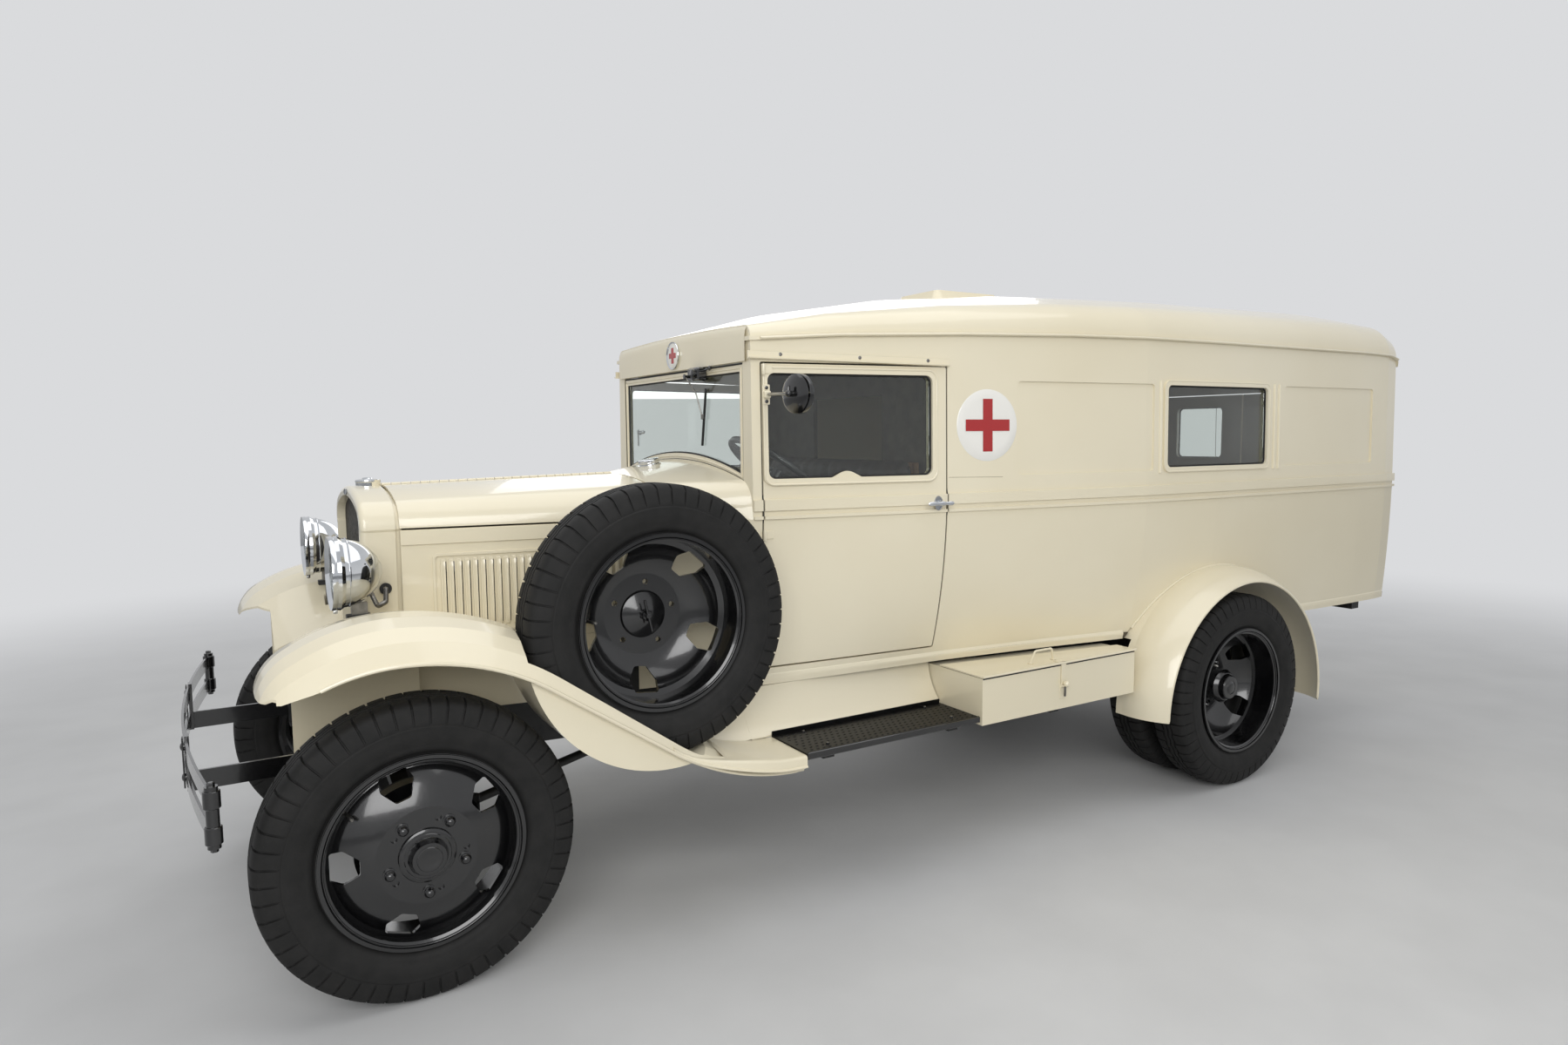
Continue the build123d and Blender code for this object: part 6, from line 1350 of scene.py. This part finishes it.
ball = ball_profile(0.019, 15)
levers = [rod_mesh([at(-1.245, 0.02, 0.715), at(-1.300, 0.02, 0.90), at(-1.405, 0.03, 1.085)], 0.0075, 0.20, 10,
        (0, 1, 0), 0.02), turned_mesh(ball, at(-1.412, 0.031, 1.098), (0, 0, 1), 18),
        turned_mesh(((0, 0.045), (0.010, 0.044), (0.030, 0.022), (0.034, 0)), at(-1.243, 0.02, 0.706),
        (0, 0, 1), 24), rod_mesh([at(-1.235, -0.075, 0.710), at(-1.345, -0.080, 1.035)], 0.008, 0.2, 10,
        (0, 1, 0), 0.03)]
piece("cab_levers", merge(*levers), ebonite)
pedals = []
for y, wide in ((0.470, 0.030), (0.355, 0.030), (0.245, 0.020)):
    foot = at(-1.075, y, 0.800)
    pad = turned_mesh(((-0.004, wide), (0.004, wide), (0.006, wide * 0.9), (0.006, 0)), foot, (-0.8, 0, 0.6),
            20)
    pedals.extend([pad, rod_mesh([foot, foot + Vector((0.085, 0, -0.075))], 0.006, 0.05, 8, (0, 1, 0), 0.03)])
piece("pedals", merge(*pedals), bare_steel)
print("cab furnished")

# %% Seat
SEAT_REAR = AXLE - 1.925


def cushion_mesh(low, high, up, pleats, swell, steps=60, rows=18):
    """A stuffed cushion: a rounded slab that swells on one face (up) between lines of stitching."""
    low, high, up = Vector(low), Vector(high), Vector(up)
    middle, half = (low + high) / 2, (high - low) / 2
    across = Vector((0, 1, 0))
    along = up.cross(across)
    wide, deep, thick = half.y, abs(half.dot(along)), abs(half.dot(up))
    face, back = [], []
    for j in range(rows + 1):
        v = -1 + 2 * j / rows
        face_row, back_row = [], []
        for i in range(steps + 1):
            u = -1 + 2 * i / steps
            edge = (1 - abs(u) ** 14) ** 0.5 * (1 - abs(v) ** 9) ** 0.5
            tuft = abs(sin(pi * pleats * (u + 1) / 2)) ** 0.45
            round_u = u * (1 - 0.012 * abs(v) ** 6)
            round_v = v * (1 - 0.035 * abs(u) ** 20)
            spot = middle + across * (wide * round_u) + along * (deep * round_v)
            face_row.append(spot + up * (thick * (edge - 0.001) - swell * (1 - tuft) * edge))
            back_row.append(spot - up * (thick * (0.97 * edge + 0.03) - 0.001))
        face.append(face_row)
        back.append(back_row)
    top, under = grid_mesh(face, False), grid_mesh(back, True)
    rim_front = [spot for spot in face[0]] + [row[-1] for row in face[1:]]
    rim_back = [spot for spot in back[0]] + [row[-1] for row in back[1:]]
    other_front = [row[0] for row in face] + face[-1][1:]
    other_back = [row[0] for row in back] + back[-1][1:]
    return merge(top, under, grid_mesh([rim_front, rim_back], False),
            grid_mesh([other_front, other_back], True))


seat_cushion = piece("seat_cushion", cushion_mesh((SEAT_REAR + 0.095, -0.518, 0.903),
        (SEAT_REAR + 0.468, 0.518, 1.010), (0, 0, 1), 14, 0.012), leathercloth, crease=180)
back_cushion = piece("back_cushion", cushion_mesh((SEAT_REAR + 0.012, -0.518, 1.000),
        (SEAT_REAR + 0.100, 0.518, 1.438), (1, 0, 0), 14, 0.010), leathercloth, crease=180)
frame_box = piece("seat_frame", merge(box_mesh((SEAT_REAR + 0.020, -0.500, 0.7035),
        (SEAT_REAR + 0.430, 0.500, 0.903), 0.006), box_mesh((SEAT_REAR + 0.002, -0.515, 0.965),
        (SEAT_REAR + 0.012, 0.515, 1.430), 0.003)), varnished_board)
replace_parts(frame_box, "seat")
print("seat stuffed")

# %% [markdown]
# ## The rear
# Two rear doors meet under a cover strip. Each hangs on three strap hinges, the left one has a lever
# handle, and rubber holds the panes. A small round tail lamp sits low on the left. These follow usual
# practice for such a body, as the photograph doesn't show the rear.

# %% Rear doors and tail lamp
REAR_DOORS = surface_of("rear_door_left", "rear_door_right", "rear_wall")


def on_rear(y, z):
    """A spot on the rear wall."""
    return hit(REAR_DOORS, at(-6.0, y, z), (1, 0, 0))[0]


def rear_window_loop(side, grow, steps=6):
    """The rounded outline of a rear pane, grown by a distance, as points on the wall."""
    low_y, high_y, low_z, high_z, radius = 0.130 - grow, 0.440 + grow, 1.385 - grow, 1.690 + grow, 0.030 + grow
    loop = []
    for cy, cz, start in ((high_y - radius, high_z - radius, 0), (low_y + radius, high_z - radius, 90),
            (low_y + radius, low_z + radius, 180), (high_y - radius, low_z + radius, 270)):
        for k in range(steps + 1):
            turn = radians(start + 90 * k / steps)
            loop.append((side * (cy + radius * cos(turn)), cz + radius * sin(turn)))
    wall_x = on_rear(side * 0.50, 1.50).x
    return [Vector((wall_x, y, z)) for y, z in loop]


for side, label in SIDES:
    body = f"rear_door_{label}"
    seal = rear_window_loop(side, -0.002)
    bead = rear_window_loop(side, 0.009)
    rubber = swept_mesh(seal, (-1, 0, 0), ((-0.004, -0.004), (0.002, -0.0035), (0.003, 0), (0.002, 0.0035),
            (-0.004, 0.004)), closed=True)
    raised_bead = swept_mesh(bead, (-1, 0, 0), ((-0.001, -0.006), (0.0025, -0.004), (0.0035, 0),
            (0.0025, 0.004), (-0.001, 0.006)), closed=True)
    piece(f"rear_pane_rubber_{label}", rubber, trim_rubber, body)
    piece(f"rear_pane_bead_{label}", raised_bead, cream_enamel, body)
    straps = []
    for z in (0.90, 1.26, 1.70):
        inner = on_rear(side * 0.47, z)
        straps.append(box_mesh((inner.x - 0.004, side * 0.47, z - 0.014),
                (inner.x + 0.001, side * 0.553, z + 0.014), 0.0015))
        straps.append(turned_mesh(((0, 0), (0, 0.006), (0.046, 0.006), (0.046, 0)),
                (inner.x - 0.006, side * 0.556, z - 0.023), (0, 0, 1), 14))
        straps.extend(turned_mesh(((0, 0.0045), (0.0015, 0.004), (0.0025, 0)), (inner.x - 0.004, side * y, z),
                (-1, 0, 0), 10) for y in (0.485, 0.510, 0.535))
    piece(f"rear_hinges_{label}", merge(*straps), cream_enamel, body)

edge_x = on_rear(0.05, 1.2).x
strip = box_mesh((edge_x - 0.004, 0.0055, 0.760), (edge_x + 0.001, 0.024, 1.750), 0.0015)
piece("rear_cover_strip", strip, cream_enamel, "rear_door_left")
handle_spot = Vector((edge_x, 0.060, 1.175))
turn = facing_matrix(handle_spot, (-1, 0, 0))
plate = moved_mesh(oval_mesh(0.014, 0.030, 0.004, 0.25), turn)
stem = turned_mesh(((0.003, 0.011), (0.008, 0.0085), (0.030, 0.0075), (0.036, 0.010), (0.040, 0)), handle_spot,
        (-1, 0, 0), 16)
grip = rod_mesh([handle_spot + Vector((-0.035, 0.006, 0)), handle_spot + Vector((-0.037, 0.112, -0.004))],
        0.0065, 0.02, 12, (0, 0, 1), 0.02)
piece("rear_handle", merge(plate, stem, grip), chrome, "rear_door_left")

lamp_spot = on_rear(0.66, 0.80)
case = turned_mesh(((0, 0.022), (0.010, 0.030), (0.020, 0.036), (0.048, 0.038), (0.050, 0.040), (0.055, 0.040),
        (0.057, 0.036)), lamp_spot, (-1, 0, 0), 36)
piece("tail_lamp", case, black_enamel)
red_glass = new_finish("red_lamp_glass", {"Roughness": 0.08, "Base Color": tint("#8E1013"), "Coat Weight": 0.6,
        "Coat Roughness": 0.05})
lens = turned_mesh(((0.054, 0.036), (0.058, 0.034), (0.063, 0.024), (0.065, 0.012), (0.0655, 0)), lamp_spot,
        (-1, 0, 0), 36)
piece("tail_lens", lens, red_glass, slot="glass")
print("rear furnished")
